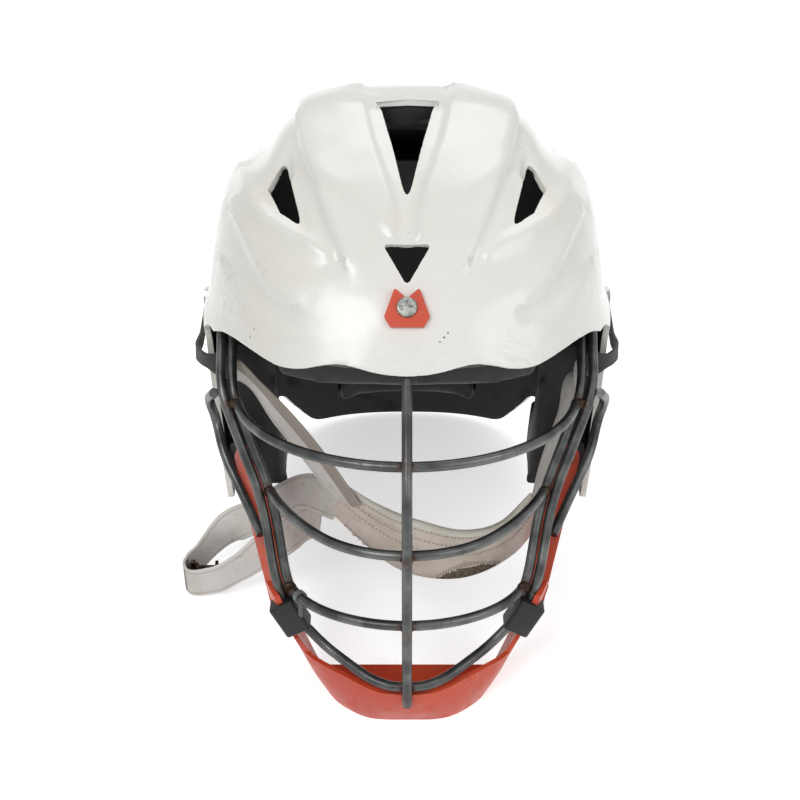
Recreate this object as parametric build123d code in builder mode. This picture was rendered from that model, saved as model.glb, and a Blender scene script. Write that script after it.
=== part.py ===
from build123d import *
import math
import os

os.makedirs("parts", exist_ok=True)

# Stance of the helmet on a flat surface
# The helmet rests on its chin guard and its nape, so the head axis leans back.
lean = 17.0
centre_back = 35.0
centre_height = 150.0

# Shell
shell_half_width = 109.5
visor_reach = 134.0
back_reach = 121.0
crown_rise = 119.0
skirt_drop = 125.0
wall = 3.2
plan_power_share = 2.5
plan_points_count = 28
# The two reaches at which the places along the helmet below are drawn. The places follow the real reaches.
drawn_visor_reach = 134.0
drawn_back_reach = 121.0

# Rows of the shell as shares: height (of the skirt drop or of the crown rise), half width, front reach,
# front reach of the liner, back reach.
skirt_shares = [
    (-1.00, 0.905, 1.000, 0.826, 0.992),
    (-0.50, 0.962, 1.000, 0.826, 0.987),
    (0.00, 1.000, 1.000, 0.826, 0.992),
]
crown_shares = [
    (0.00, 1.000, 1.000, 0.826, 0.992),
    (0.13, 0.982, 0.955, 0.826, 0.985),
    (0.25, 0.960, 0.905, 0.816, 0.960),
    (0.38, 0.936, 0.836, 0.796, 0.920),
    (0.50, 0.914, 0.757, 0.735, 0.862),
    (0.605, 0.863, 0.680, 0.656, 0.795),
    (0.67, 0.760, 0.620, 0.596, 0.745),
    (0.74, 0.676, 0.545, 0.521, 0.687),
    (0.82, 0.621, 0.434, 0.410, 0.603),
    (0.875, 0.575, 0.351, 0.327, 0.525),
    (0.925, 0.521, 0.254, 0.230, 0.446),
    (0.965, 0.438, 0.180, 0.156, 0.364),
    (0.988, 0.347, 0.128, 0.104, 0.298),
    (1.00, 0.200, 0.075, 0.060, 0.215),
]

# Lower edge of the shell in side view
lip_level = 11.0
lip_corner_back = -58.0
temple_edge_back = -41.0
temple_edge_level = 2.0
flap_front_back = -37.0
flap_front_level = -60.0
flap_level = -104.0
flap_corner = 16.0
flap_rear_back = 38.0
neck_rise_back = 64.0
neck_rise_level = -93.0
neck_rear_back = 88.0

# Dips in the visor lip
dip_across = 28.0
dip_half_width = 19.0
dip_rise = 7.0

# Vents
top_vent_half_width = 16.0
top_vent_back = -4.0
top_vent_tip = -78.0
front_vent_half_width = 12.0
front_vent_back = -93.0
front_vent_level = 65.0
front_vent_height = 21.5
side_vent_outline = [(62.0, -32.0), (71.0, -48.0), (63.2, -70.0), (51.5, -82.5), (58.0, -55.0)]
slot_across = 81.0
slot_back = 42.0
slot_length = 14.0
slot_width = 5.0
rear_vent_across = 30.0
rear_vent_level = 48.0
rear_vent_length = 42.0
rear_vent_width = 12.0
ear_hole_back = 4.0
ear_hole_level = -48.0
ear_hole_length = 40.0
ear_hole_width = 22.0
vent_corner = 3.0

# Liner
liner_gap = 0.5
pad_thickness = 13.0
jaw_pad_thickness = 30.0
pad_corner = 5.0
brow_pad_half_width = 66.0
brow_pad_back = -46.0
brow_pad_low = -5.0
brow_pad_high = 42.0
crown_pad_half_width = 38.0
crown_pad_front = -2.0
crown_pad_back = 60.0
crown_pad_low = 70.0
temple_pad_width = 64.0
temple_pad_low = 4.5
temple_pad_high = 60.0
temple_pad_front = -36.0
temple_pad_back = 44.0
rear_pad_half_width = 58.0
rear_pad_low = -30.0
rear_pad_high = 62.0
rear_pad_front = 52.0
jaw_pad_front = -26.0
jaw_pad_back = 14.0
jaw_pad_low = -100.0
jaw_pad_high = -12.0

# Cage
wire_diameter = 5.2
pair_step = 5.8
weld = 0.5
bend_share = 0.45
crossing_share = 0.0001
# Each bar: level, front, and the shoulder where the nose arc ends
bars = {
    "top_bar": dict(level=12.0, front=-116.0, shoulder=62.0, shoulder_back=-100.0),
    "upper_bar": dict(level=-26.0, front=-151.0, shoulder=57.0, shoulder_back=-130.0),
    "middle_bar": dict(level=-70.0, front=-159.0, shoulder=43.0, shoulder_back=-139.5),
    "lower_bar": dict(level=-118.0, front=-145.0, shoulder=38.0, shoulder_back=-134.0),
}
bottom_front = -132.0
bottom_level = -163.8
bottom_bar_route = [
    (57.0, -104.5, -139.5), (43.5, -110.0, -152.0), (31.5, -119.5, -156.5), (20.0, -128.0, -160.5), (9.0, -131.5, -163.5),
]
side_wire_route = [
    (97.5, -42.0, 13.0),
    (97.0, -72.0, -20.0),
    (88.5, -81.0, -42.0),
    (76.0, -89.0, -75.0),
    (69.0, -107.0, -112.0),
    (62.5, -108.2, -133.0),
]
# The loop wire leaves the outer side wire and comes back to it: level, and turn towards the back
loop_top = (-22.0, 0.0)
loop_foot = (-93.0, 32.0)
loop_wire_route = [(106.0, -54.0, -33.0), (103.0, -48.0, -48.0), (98.0, -63.0, -62.0), (88.0, -74.0, -79.0)]
centre_bar_top = [(-112.4, 30.8), (-120.6, 12.0), (-141.0, -8.0)]
centre_bar_end = -173.0
tab_width = 14.0
tab_height = 21.0
tab_thickness = 1.6
tab_gap = 0.3

# Badge below the front vent
badge_width = 22.0
badge_height = 19.0
badge_thickness = 2.4
badge_back = -114.6
badge_level = 41.0
badge_slope = 31.0
badge_notch = 5.0
badge_horn = 6.0
screw_head_diameter = 10.0
screw_head_height = 1.8
screw_diameter = 4.0
screw_recess_depth = 1.0
nut_diameter = 9.0
nut_thickness = 3.0
seat_gap = 0.05

# Chin guard
guard_wall = 2.6
guard_centre_back = -80.0
guard_rear_reach = 40.0
# Rows of the guard's outside: level, half width, front, and how round the row is in plan
guard_rows = [
    (-198.0, 44.0, -114.5, 0.9),
    (-182.0, 48.5, -127.5, 0.55),
    (-172.0, 53.5, -132.5, 0.2),
    (-161.0, 58.5, -135.5, 0.0),
    (-148.0, 65.0, -137.0, 0.0),
    (-138.0, 70.5, -137.0, 0.3),
    (-126.0, 75.5, -136.0, 1.0),
    (-110.0, 80.0, -134.0, 1.0),
]
# Half of the guard's plan outline from the front to the side, as shares across and to the front
pointed_shares = [(0.0, 1.0), (0.14, 0.985), (0.33, 0.915), (0.55, 0.78), (0.78, 0.63), (0.93, 0.47), (0.99, 0.27), (1.0, 0.0)]
round_shares = [(0.0, 1.0), (0.25, 0.99), (0.5, 0.93), (0.7, 0.81), (0.85, 0.655), (0.94, 0.47), (0.985, 0.27), (1.0, 0.0)]
guard_side_outline = [
    (-150.0, -167.0),
    (-131.0, -167.0),
    (-108.0, -157.0),
    (-103.0, -149.0),
    (-113.0, -141.0),
    (-112.0, -120.0),
    (-102.0, -117.0),
    (-88.0, -130.0),
    (-82.0, -158.0),
    (-90.0, -215.0),
    (-150.0, -215.0),
]
arm_foot = (66.0, -98.5, -130.0)
arm_head = (86.0, -58.0, -66.0)
arm_foot_width = 14.0
arm_head_width = 14.0
side_screw_diameter = 4.0
side_ball_diameter = 7.5
side_screw_length = 12.0
block_width = 12.0
block_height = 16.0
block_depth = 26.0
clip_width = 13.5
clip_depth = 10.0
clip_route = [(65.8, -107.8, -125.5), (57.0, -106.2, -141.0)]
tie_width = 3.0
tie_thickness = 0.8
tie_tail = 9.0
tie_reach = 9.0

# Temple hooks
stud_back = 18.0
stud_level = -2.0
stud_diameter = 5.0
stud_head_diameter = 8.5
stud_head_height = 1.4
hook_thickness = 1.8
hook_eye_diameter = 12.0
hook_gap = 0.4
hook_stand = 2.1
hook_arc_radius = 15.0
hook_width = 22.0
hook_aim = 16.0
hook_slot_width = 2.4
fit_clearance = 0.08

# Straps: centre places on the helmet axes, each with the direction of the band's width
web_width = 20.0
web_thickness = 1.6
temple_stations = [
    ((112.4, -18.0, -12.5), (0, -0.1, 1)),
    ((111.9, -40.0, -13.0), (0, 0, 1)),
    ((106.0, -49.0, -13.5), (0.1, -0.1, 1)),
    ((94.0, -51.0, -16.0), (0.3, -0.3, 0.9)),
]
upper_stations = {
    "left": [((64.0, -62.0, -44.0), (0.51, -0.53, 0.67)), ((35.0, -76.0, -79.0), (0.51, -0.53, 0.67))],
    "right": [((81.5, -54.5, -47.0), (0.4, -0.4, 0.5)), ((69.5, -66.0, -83.0), (0.51, -0.53, 0.67))],
}
lower_stations = [
    ((72.0, -63.0, -90.0), (0.3, 0.1, 0.9)),
    ((83.0, -42.0, -110.0), (0, 0.4, 1)),
    ((89.0, -8.0, -116.0), (0, 0.1, 1)),
    ((92.5, 28.0, -111.0), (0, -0.3, 1)),
    ((93.0, 46.0, -99.0), (0, -0.6, 1)),
]
anchor_back = 44.0
anchor_level = -97.0
anchor_diameter = 9.0
anchor_stand = 1.2
# The unhooked lower left strap, in the frame of the flat surface
loose_stations = [
    ((-37.0, -60.0, 90.0), (0.5, 0.3, 0.8)),
    ((-60.0, -33.0, 71.0), (0.5, 0.3, 0.8)),
    ((-82.0, -28.0, 49.0), (0.45, 0.2, 0.85)),
    ((-104.0, -21.0, 29.0), (0.3, 0.1, 0.9)),
    ((-119.0, -27.0, 15.0), (0.1, 0, 1)),
    ((-126.0, -33.0, 11.0), (0, 0, 1)),
    ((-128.0, -38.5, 11.0), (0, 0, 1)),
    ((-126.0, -44.0, 11.0), (0, 0, 1)),
    ((-112.0, -47.0, 14.0), (0.1, 0, 1)),
    ((-96.0, -46.0, 23.0), (0.3, 0, 0.9)),
    ((-78.0, -45.0, 39.0), (0.4, 0.1, 0.85)),
    ((-60.0, -48.0, 58.0), (0.45, 0.2, 0.85)),
    ((-47.0, -56.0, 74.0), (0.5, 0.3, 0.8)),
]
strap_pin_place = (-122.6, -38.5, 11.0)
strap_pin_diameter = 3.0
strap_hook_height = 12.0
strap_hook_length = 13.0
strap_hook_wall = 1.8

# Chin cup: centre place, height and thickness of each section
cup_stations = [
    ((-36.0, -75.0, -83.0), 19.0, 3.0),
    ((-19.0, -85.0, -92.0), 23.5, 7.0),
    ((3.0, -92.5, -101.5), 29.5, 9.0),
    ((28.0, -92.0, -106.5), 26.5, 9.5),
    ((52.0, -80.0, -104.5), 21.0, 8.0),
    ((71.0, -65.0, -91.0), 18.0, 3.0),
]
cup_width_aim = (0, 0.2, 0.98)
cup_corner_share = 0.45

# Rear fit system
yoke_radius = 78.0
yoke_stand = 32.0
yoke_half_angle = 33.0
yoke_thickness = 3.0
yoke_level = -71.0
yoke_height = 34.0
yoke_pad_thickness = 9.0
stem_width = 16.0
stem_height = 5.0
stem_end_stand = 13.0
housing_width = 46.0
housing_height = 26.0
housing_depth = 28.5
slide_clearance = 0.15
button_diameter = 12.0
button_proud = 3.0
button_length = 9.0
fit_screw_across = 17.5
fit_screw_diameter = 3.0
fit_screw_head_diameter = 6.0
fit_screw_head_height = 1.6
fit_screw_length = 12.0


# Helmet axes: across to the right, back, and rise along the head
tilt = math.radians(lean)
head = Plane(origin=(0, centre_back, centre_height), x_dir=(1, 0, 0), z_dir=(0, math.sin(tilt), math.cos(tilt)))
side_view = Plane(origin=head.origin, x_dir=head.y_dir, z_dir=head.x_dir)
front_view = Plane(origin=head.origin, x_dir=head.x_dir, z_dir=-head.y_dir)
pieces = {}


def along(back):
    """A drawn place along the helmet, moved with the reach of the visor or of the nape."""
    if back < 0:
        return back * visor_reach / drawn_visor_reach
    return back * back_reach / drawn_back_reach


def at(across, back, rise):
    """A point drawn on the helmet axes, in the frame of the flat surface."""
    return head.from_local_coords((across, along(back), rise))


def facing(point, across, normal):
    """A plane through a point, with both directions given on the helmet axes."""
    turn = Plane(origin=(0, 0, 0), x_dir=head.x_dir, z_dir=head.z_dir)
    return Plane(origin=at(*point), x_dir=turn.from_local_coords(across), z_dir=turn.from_local_coords(normal))


def between(value, low, high, first, last):
    """Straight-line value between two rows."""
    return first + (last - first) * (value - low) / (high - low)


def plan_outline(half_width, front, back):
    """Points round a flattened oval: wide at the temples, round at the brow and the nape."""
    points = []
    power = 2 / plan_power_share
    for step in range(plan_points_count):
        angle = 2 * math.pi * step / plan_points_count
        cosine = math.cos(angle)
        sine = math.sin(angle)
        reach = back if sine > 0 else front
        across = math.copysign(half_width * abs(cosine) ** power, cosine)
        points.append((across, math.copysign(reach * abs(sine) ** power, sine)))
    return points


def shell_form(inset, liner=False):
    """The closed form inside the shell's outer surface, drawn in by an inset."""
    with BuildPart() as form:
        for rows, height_unit in ((skirt_shares, skirt_drop), (crown_shares, crown_rise - inset)):
            for height, half, front, liner_front, back in rows:
                front_reach = visor_reach * (liner_front if liner else front)
                back_row = back_reach * back
                row = plan_outline(
                    shell_half_width * half - inset,
                    max(front_reach - inset, front_reach / 2),
                    max(back_row - inset, back_row / 2),
                )
                with BuildSketch(head.offset(height * height_unit)):
                    with BuildLine():
                        Spline(*row, periodic=True)
                    make_face()
            loft()
    return form.part


outer_form = shell_form(0)
inner_form = shell_form(wall)

# The axis of the badge screw, and hole sizes
badge_tilt = math.atan(math.tan(math.radians(badge_slope)) * along(badge_back) / badge_back)
badge_face = facing((0, badge_back, badge_level), (1, 0, 0), (0, -math.cos(badge_tilt), math.sin(badge_tilt)))
screw_hole = screw_diameter + 2 * fit_clearance
stud_hole = stud_diameter + 2 * fit_clearance

# Nape edge: the shell's lowest point touches the flat surface
nape_reach = back_reach * skirt_shares[0][-1]
nape_level = (nape_reach * math.sin(tilt) - centre_height) / math.cos(tilt)
beyond = 2 * back_reach
housing_front = nape_reach - housing_depth
stem_end = nape_reach - stem_end_stand
yoke_centre_back = nape_reach - yoke_stand - yoke_radius


def surface_across(back, rise):
    """Half width of the shell's outside at a place in side view."""
    found = outer_form.find_intersection_points(Axis(at(0, back, rise), (1, 0, 0)))
    return max(point.X for point, normal in found)


# Cuts in the shell, gathered and taken out at once
with BuildPart() as shell_cuts:
    # Lower edge: visor lip, temple, ear flap, neck rise and nape
    with BuildSketch(side_view):
        with BuildLine():
            Polyline(
                (-beyond, lip_level),
                (along(lip_corner_back), lip_level),
                (along(temple_edge_back), temple_edge_level),
                (along(flap_front_back), flap_front_level),
            )
            FilletPolyline(
                (along(flap_front_back), flap_front_level),
                (along(flap_front_back), flap_level),
                (along(flap_rear_back), flap_level),
                (along(neck_rise_back), neck_rise_level),
                (along(neck_rear_back), neck_rise_level),
                (back_reach - flap_corner, nape_level),
                (beyond, nape_level),
                radius=flap_corner / 2,
            )
            Polyline((beyond, nape_level), (beyond, -beyond), (-beyond, -beyond), (-beyond, lip_level))
        make_face()
    extrude(amount=beyond, both=True)
    # Two dips in the lip
    with BuildSketch(front_view.offset(visor_reach / 2)):
        for side in (-1, 1):
            with BuildLine():
                Spline(
                    (side * dip_across - dip_half_width, lip_level - dip_rise),
                    (side * dip_across - dip_half_width / 2, lip_level + dip_rise / 2),
                    (side * dip_across, lip_level + dip_rise),
                    (side * dip_across + dip_half_width / 2, lip_level + dip_rise / 2),
                    (side * dip_across + dip_half_width, lip_level - dip_rise),
                )
                Line(
                    (side * dip_across + dip_half_width, lip_level - dip_rise),
                    (side * dip_across - dip_half_width, lip_level - dip_rise),
                )
            make_face()
    extrude(amount=visor_reach)
    # Centre vent, side vents and slots, cut from above
    with BuildSketch(head):
        with BuildLine():
            FilletPolyline(
                (-top_vent_half_width, along(top_vent_back)),
                (0, along(top_vent_tip)),
                (top_vent_half_width, along(top_vent_back)),
                close=True,
                radius=vent_corner,
            )
        make_face()
        for side in (-1, 1):
            with BuildLine():
                corners = [(side * across, along(back)) for across, back in side_vent_outline]
                FilletPolyline(*corners, close=True, radius=vent_corner / 2)
            make_face()
        for side in (-1, 1):
            with Locations((side * slot_across, along(slot_back))):
                SlotOverall(slot_length, slot_width, rotation=90)
    extrude(amount=beyond)
    # Front vent
    front_slope = facing((0, front_vent_back, front_vent_level), (1, 0, 0), (0, -math.cos(tilt), math.cos(tilt)))
    with BuildSketch(front_slope.offset(-visor_reach / 8)):
        with BuildLine():
            FilletPolyline(
                (-front_vent_half_width, 0), (0, -front_vent_height), (front_vent_half_width, 0), close=True,
                radius=vent_corner / 2,
            )
        make_face()
    extrude(amount=visor_reach / 4)
    # Rear vents, and holes of the fit system
    with BuildSketch(front_view.offset(-back_reach / 2)):
        with Locations(*[(side * rear_vent_across, rear_vent_level) for side in (-1, 1)]):
            SlotOverall(rear_vent_length, rear_vent_width, rotation=90)
        with Locations((0, yoke_level)):
            Circle(button_diameter / 2 + slide_clearance)
        with Locations(*[(side * fit_screw_across, yoke_level) for side in (-1, 1)]):
            Circle(fit_screw_diameter / 2 + fit_clearance)
    extrude(amount=-back_reach)
    # Ear holes, and holes of the temple studs and strap anchors
    for side in (-1, 1):
        with BuildSketch(side_view.offset(side * shell_half_width / 2)):
            with Locations((along(ear_hole_back), ear_hole_level)):
                SlotOverall(ear_hole_length, ear_hole_width, rotation=90)
            with Locations((along(stud_back), stud_level), (along(anchor_back), anchor_level)):
                Circle(stud_hole / 2)
        extrude(amount=side * shell_half_width)
    # Hole of the badge screw
    with BuildSketch(badge_face.offset(-badge_height / 2)):
        Circle(screw_hole / 2)
    extrude(amount=badge_height)

# Shell
with BuildPart() as shell:
    add(outer_form)
    add(inner_form, mode=Mode.SUBTRACT)
    add(shell_cuts.part, mode=Mode.SUBTRACT)
pieces["shell"] = shell

# Liner pads: curved blocks of one foam layer, with gaps between them
liner_outside = shell_form(wall + liner_gap, liner=True)
liner_inside = shell_form(wall + liner_gap + pad_thickness, liner=True)
jaw_inside = shell_form(wall + liner_gap + jaw_pad_thickness, liner=True)
foam_layer = liner_outside - liner_inside
jaw_layer = liner_outside - jaw_inside
# Each pad: the layer, its middle across, its size across, and its limits in back and in rise
temple_middle = shell_half_width - temple_pad_width / 2
pad_boxes = {
    "brow_pad": (
        foam_layer, 0, 2 * brow_pad_half_width, -drawn_visor_reach, brow_pad_back, brow_pad_low, brow_pad_high,
    ),
    "crown_pad": (foam_layer, 0, 2 * crown_pad_half_width, crown_pad_front, crown_pad_back, crown_pad_low, crown_rise),
    "rear_pad": (
        foam_layer, 0, 2 * rear_pad_half_width, rear_pad_front, drawn_back_reach, rear_pad_low, rear_pad_high,
    ),
}
for side, name in ((-1, "left"), (1, "right")):
    pad_boxes[f"temple_pad_{name}"] = (
        foam_layer, side * temple_middle, temple_pad_width, temple_pad_front, temple_pad_back, temple_pad_low,
        temple_pad_high,
    )
    pad_boxes[f"jaw_pad_{name}"] = (
        jaw_layer, side * temple_middle, temple_pad_width, jaw_pad_front, jaw_pad_back, jaw_pad_low, jaw_pad_high,
    )
for name, (layer, middle, width, front, back, low, high) in pad_boxes.items():
    front_end = along(front)
    back_end = along(back)
    with BuildPart() as pad:
        add(layer)
        with BuildSketch(head.offset(low)):
            with Locations((middle, (front_end + back_end) / 2)):
                RectangleRounded(width, back_end - front_end, pad_corner)
        extrude(amount=high - low, mode=Mode.INTERSECT)
        if layer is jaw_layer:
            with BuildSketch(side_view):
                with Locations((along(ear_hole_back), ear_hole_level)):
                    SlotOverall(ear_hole_length - pad_corner, ear_hole_width - pad_corner, rotation=90)
            extrude(amount=beyond, both=True, mode=Mode.SUBTRACT)
    pieces[name] = pad


# Cage of bent steel wire
def bend_radii(points):
    """The largest tangent bend at each corner of a route."""
    radii = []
    for before, corner, after in zip(points, points[1:], points[2:]):
        run = min((corner - before).length, (after - corner).length)
        turn = math.radians((corner - before).get_angle(after - corner))
        radii.append(bend_share * run / math.tan(turn / 2))
    return radii


def bent_wire(points):
    """A round wire along straight runs and tangent bends."""
    with BuildPart() as wire:
        with BuildLine() as run:
            FilletPolyline(*points, radius=bend_radii(points))
        with BuildSketch(Plane(origin=run.line @ 0, z_dir=run.line % 0)):
            Circle(wire_diameter / 2)
        sweep(path=run.line)
    return wire, run.line


def crossing(line, level):
    """The place, on the helmet axes, where a falling wire passes a level."""
    low, high = 0.0, 1.0
    while high - low > crossing_share:
        middle = (low + high) / 2
        if head.to_local_coords(line @ middle).Z > level:
            low = middle
        else:
            high = middle
    return head.to_local_coords(line @ low)


bar_step = wire_diameter - weld
for side, name in ((-1, "left"), (1, "right")):
    outer_route = [at(side * across, back, rise) for across, back, rise in side_wire_route]
    inner_route = [at(side * (across - pair_step), back, rise) for across, back, rise in side_wire_route]
    pieces[f"outer_side_wire_{name}"], outer_line = bent_wire(outer_route)
    loop_route = [at(side * across, back, rise) for across, back, rise in loop_wire_route]
    for place, (level, turn) in ((0, loop_top), (len(loop_route) + 1, loop_foot)):
        welded = crossing(outer_line, level)
        step_across = side * bar_step * math.cos(math.radians(turn))
        step_back = bar_step * math.sin(math.radians(turn))
        loop_route.insert(place, head.from_local_coords((welded.X + step_across, welded.Y + step_back, level)))
    pieces[f"inner_side_wire_{name}"], inner_line = bent_wire(inner_route)
    pieces[f"loop_wire_{name}"], loop_line = bent_wire(loop_route)

# Cross bars: a nose arc, then an arc to the inner side wire at each end
bar_paths = {}
for name, bar in bars.items():
    end = crossing(inner_line, bar["level"])
    shoulder = Vector(bar["shoulder"], along(bar["shoulder_back"]))
    reach = Vector(end.X, end.Y) - shoulder
    tip = shoulder + reach * (1 - (wire_diameter / 2 - weld) / reach.length)
    with BuildPart() as cross_bar:
        with BuildLine(head.offset(bar["level"])) as run:
            nose = ThreePointArc((-shoulder.X, shoulder.Y), (0, along(bar["front"])), (shoulder.X, shoulder.Y))
            TangentArc(nose @ 1, (tip.X, tip.Y), tangent=nose % 1)
            TangentArc(nose @ 0, (-tip.X, tip.Y), tangent=(nose % 0) * -1)
        path = run.wires()[0]
        with BuildSketch(Plane(origin=path @ 0, z_dir=path % 0)):
            Circle(wire_diameter / 2)
        sweep(path=path)
    pieces[name] = cross_bar
    bar_paths[name] = path

bottom_half = [at(*place) for place in bottom_bar_route]
bottom_other = [at(-across, back, rise) for across, back, rise in reversed(bottom_bar_route)]
pieces["bottom_bar"], bottom_line = bent_wire(bottom_half + bottom_other)

# Centre bar, bent over the front of the cross bars
centre_stations = [(along(back), level) for back, level in centre_bar_top]
for name in ("upper_bar", "middle_bar", "lower_bar"):
    centre_stations.append((along(bars[name]["front"]) - bar_step, bars[name]["level"]))
centre_stations.append((along(bottom_front) - bar_step, bottom_level))
centre_stations.append((along(bottom_front) - bar_step + wire_diameter / 2, centre_bar_end))
with BuildPart() as centre_bar:
    with BuildLine(side_view) as run:
        Spline(*centre_stations)
    with BuildSketch(Plane(origin=run.line @ 0, z_dir=run.line % 0)):
        Circle(wire_diameter / 2)
    sweep(path=run.line)
pieces["centre_bar"] = centre_bar

# Badge, screw, cage tab and nut on one axis
with BuildPart(badge_face) as badge:
    with BuildSketch(badge_face.offset(liner_gap)):
        with BuildLine():
            FilletPolyline(
                (0, badge_height / 2 - badge_notch),
                (badge_horn, badge_height / 2),
                (badge_width / 2, -badge_height / 2 + badge_notch),
                (badge_width / 2 - badge_horn / 2, -badge_height / 2),
                (-badge_width / 2 + badge_horn / 2, -badge_height / 2),
                (-badge_width / 2, -badge_height / 2 + badge_notch),
                (-badge_horn, badge_height / 2),
                close=True,
                radius=badge_thickness / 3,
            )
        make_face()
        Circle(screw_hole / 2, mode=Mode.SUBTRACT)
    extrude(amount=badge_thickness)
pieces["badge"] = badge
shell_skin = wall + 2 * liner_gap
tab_front = -shell_skin - tab_gap
with BuildPart() as cage_tab:
    with BuildSketch(badge_face.offset(tab_front)):
        RectangleRounded(tab_width, tab_height, tab_width / 4)
        Circle(screw_hole / 2, mode=Mode.SUBTRACT)
    extrude(amount=-tab_thickness)
pieces["cage_tab"] = cage_tab
nut_front = tab_front - tab_thickness - seat_gap
with BuildPart() as badge_nut:
    with BuildSketch(badge_face.offset(nut_front)):
        RegularPolygon(nut_diameter / 2, 6)
        Circle(screw_hole / 2, mode=Mode.SUBTRACT)
    extrude(amount=-nut_thickness)
pieces["badge_nut"] = badge_nut
head_seat = liner_gap + badge_thickness + seat_gap
with BuildPart() as badge_screw:
    with BuildSketch(badge_face.offset(head_seat)):
        Circle(screw_head_diameter / 2)
    extrude(amount=screw_head_height)
    rim = badge_screw.faces().sort_by(Axis(badge_face.origin, badge_face.z_dir))[-1]
    fillet(rim.edges(), radius=screw_head_height / 2)
    with BuildSketch(badge_face.offset(head_seat + screw_head_height)):
        SlotOverall(screw_head_diameter * 2 / 3, screw_recess_depth)
        SlotOverall(screw_head_diameter * 2 / 3, screw_recess_depth, rotation=90)
    extrude(amount=-screw_recess_depth, mode=Mode.SUBTRACT)
    with BuildSketch(badge_face.offset(head_seat)):
        Circle(screw_diameter / 2)
    extrude(amount=nut_front - nut_thickness - head_seat)
pieces["badge_screw"] = badge_screw


# Chin guard: a thin scoop with a flat underside, and two arms
def guard_form(inset):
    """The closed form inside the guard's outer surface, drawn in by an inset and longer at its open rear."""
    centre = along(guard_centre_back)
    rear = centre + guard_rear_reach + inset
    with BuildPart() as form:
        for level, half, front, roundness in guard_rows:
            side_across = half - inset
            reach = centre - along(front) - inset
            half_row = []
            for (across, ahead), (round_across, round_ahead) in zip(pointed_shares, round_shares):
                across_share = between(roundness, 0, 1, across, round_across)
                front_share = between(roundness, 0, 1, ahead, round_ahead)
                half_row.append((across_share * side_across, centre - front_share * reach))
            row = [(-across, back) for across, back in reversed(half_row)] + half_row[1:]
            with BuildSketch(head.offset(level)):
                with BuildLine():
                    Spline(*row, tangents=[(0, -1), (0, 1)])
                    Polyline((side_across, centre), (side_across, rear), (-side_across, rear), (-side_across, centre))
                make_face()
        loft()
    return form.part


arm_rise = Vector(0, along(arm_head[1]) - along(arm_foot[1]), arm_head[2] - arm_foot[2])
arm_normal = (0, -arm_rise.Z / arm_rise.length, arm_rise.Y / arm_rise.length)
guard_inside = split(guard_form(guard_wall), bisect_by=Plane.XY.offset(guard_wall), keep=Keep.TOP)
with BuildPart() as chin_guard:
    add(guard_form(0))
    split(bisect_by=Plane.XY, keep=Keep.TOP)
    add(guard_inside, mode=Mode.SUBTRACT)
    with BuildSketch(side_view):
        with BuildLine():
            Polyline(*[(along(back), level) for back, level in guard_side_outline], close=True)
        make_face()
    extrude(amount=beyond, both=True, mode=Mode.INTERSECT)
    for side in (-1, 1):
        arm_face = facing((0, arm_foot[1], arm_foot[2]), (1, 0, 0), arm_normal)
        with BuildSketch(arm_face):
            with Locations((side * arm_foot[0], 0)):
                Circle(arm_foot_width / 2)
            with Locations((side * arm_head[0], arm_rise.length)):
                Circle(arm_head_width / 2)
            make_hull()
            with Locations((side * arm_head[0], arm_rise.length)):
                Circle(side_screw_diameter / 2 + fit_clearance, mode=Mode.SUBTRACT)
        extrude(amount=-guard_wall)
pieces["chin_guard"] = chin_guard

# Side screws, and the black blocks that carry them on the ear flaps
block_inner = surface_across(flap_front_back, flap_level) - wall - liner_gap
for side, name in ((-1, "left"), (1, "right")):
    screw_face = facing((side * arm_head[0], arm_head[1], arm_head[2]), (1, 0, 0), arm_normal)
    with BuildPart() as side_block:
        block_shift = side * (block_inner - block_width / 2 - arm_head[0])
        with BuildSketch(screw_face.offset(-guard_wall - seat_gap)):
            with Locations((block_shift, 0)):
                RectangleRounded(block_width, block_height, block_width / 6)
            Circle(side_screw_diameter, mode=Mode.ADD)
            Circle(side_screw_diameter / 2 + fit_clearance, mode=Mode.SUBTRACT)
        extrude(amount=-block_depth)
    pieces[f"side_block_{name}"] = side_block
    with BuildPart() as side_screw:
        with BuildSketch(screw_face.offset(seat_gap)):
            Circle(side_screw_diameter * 3 / 4)
        extrude(amount=side_ball_diameter / 3)
        with Locations(screw_face.offset(side_ball_diameter / 2)):
            Sphere(side_ball_diameter / 2)
        with BuildSketch(screw_face.offset(seat_gap)):
            Circle(beyond)
        extrude(amount=-side_ball_diameter, mode=Mode.SUBTRACT)
        with BuildSketch(screw_face.offset(seat_gap)):
            Circle(side_screw_diameter / 2)
        extrude(amount=-side_screw_length)
    pieces[f"side_screw_{name}"] = side_screw

# Clips that hold the ends of the wires to the chin guard
for side, name in ((-1, "left"), (1, "right")):
    start, end = [at(side * across, back, rise) for across, back, rise in clip_route]
    with BuildPart() as wire_clip:
        with BuildSketch(Plane(origin=start, x_dir=(1, 0, 0), z_dir=end - start)):
            RectangleRounded(clip_width, clip_depth, clip_depth / 4)
        extrude(amount=(end - start).length)
        for wire in (f"outer_side_wire_{name}", f"inner_side_wire_{name}", "bottom_bar", "chin_guard"):
            add(pieces[wire].part, mode=Mode.SUBTRACT)
    pieces[f"wire_clip_{name}"] = wire_clip

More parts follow.
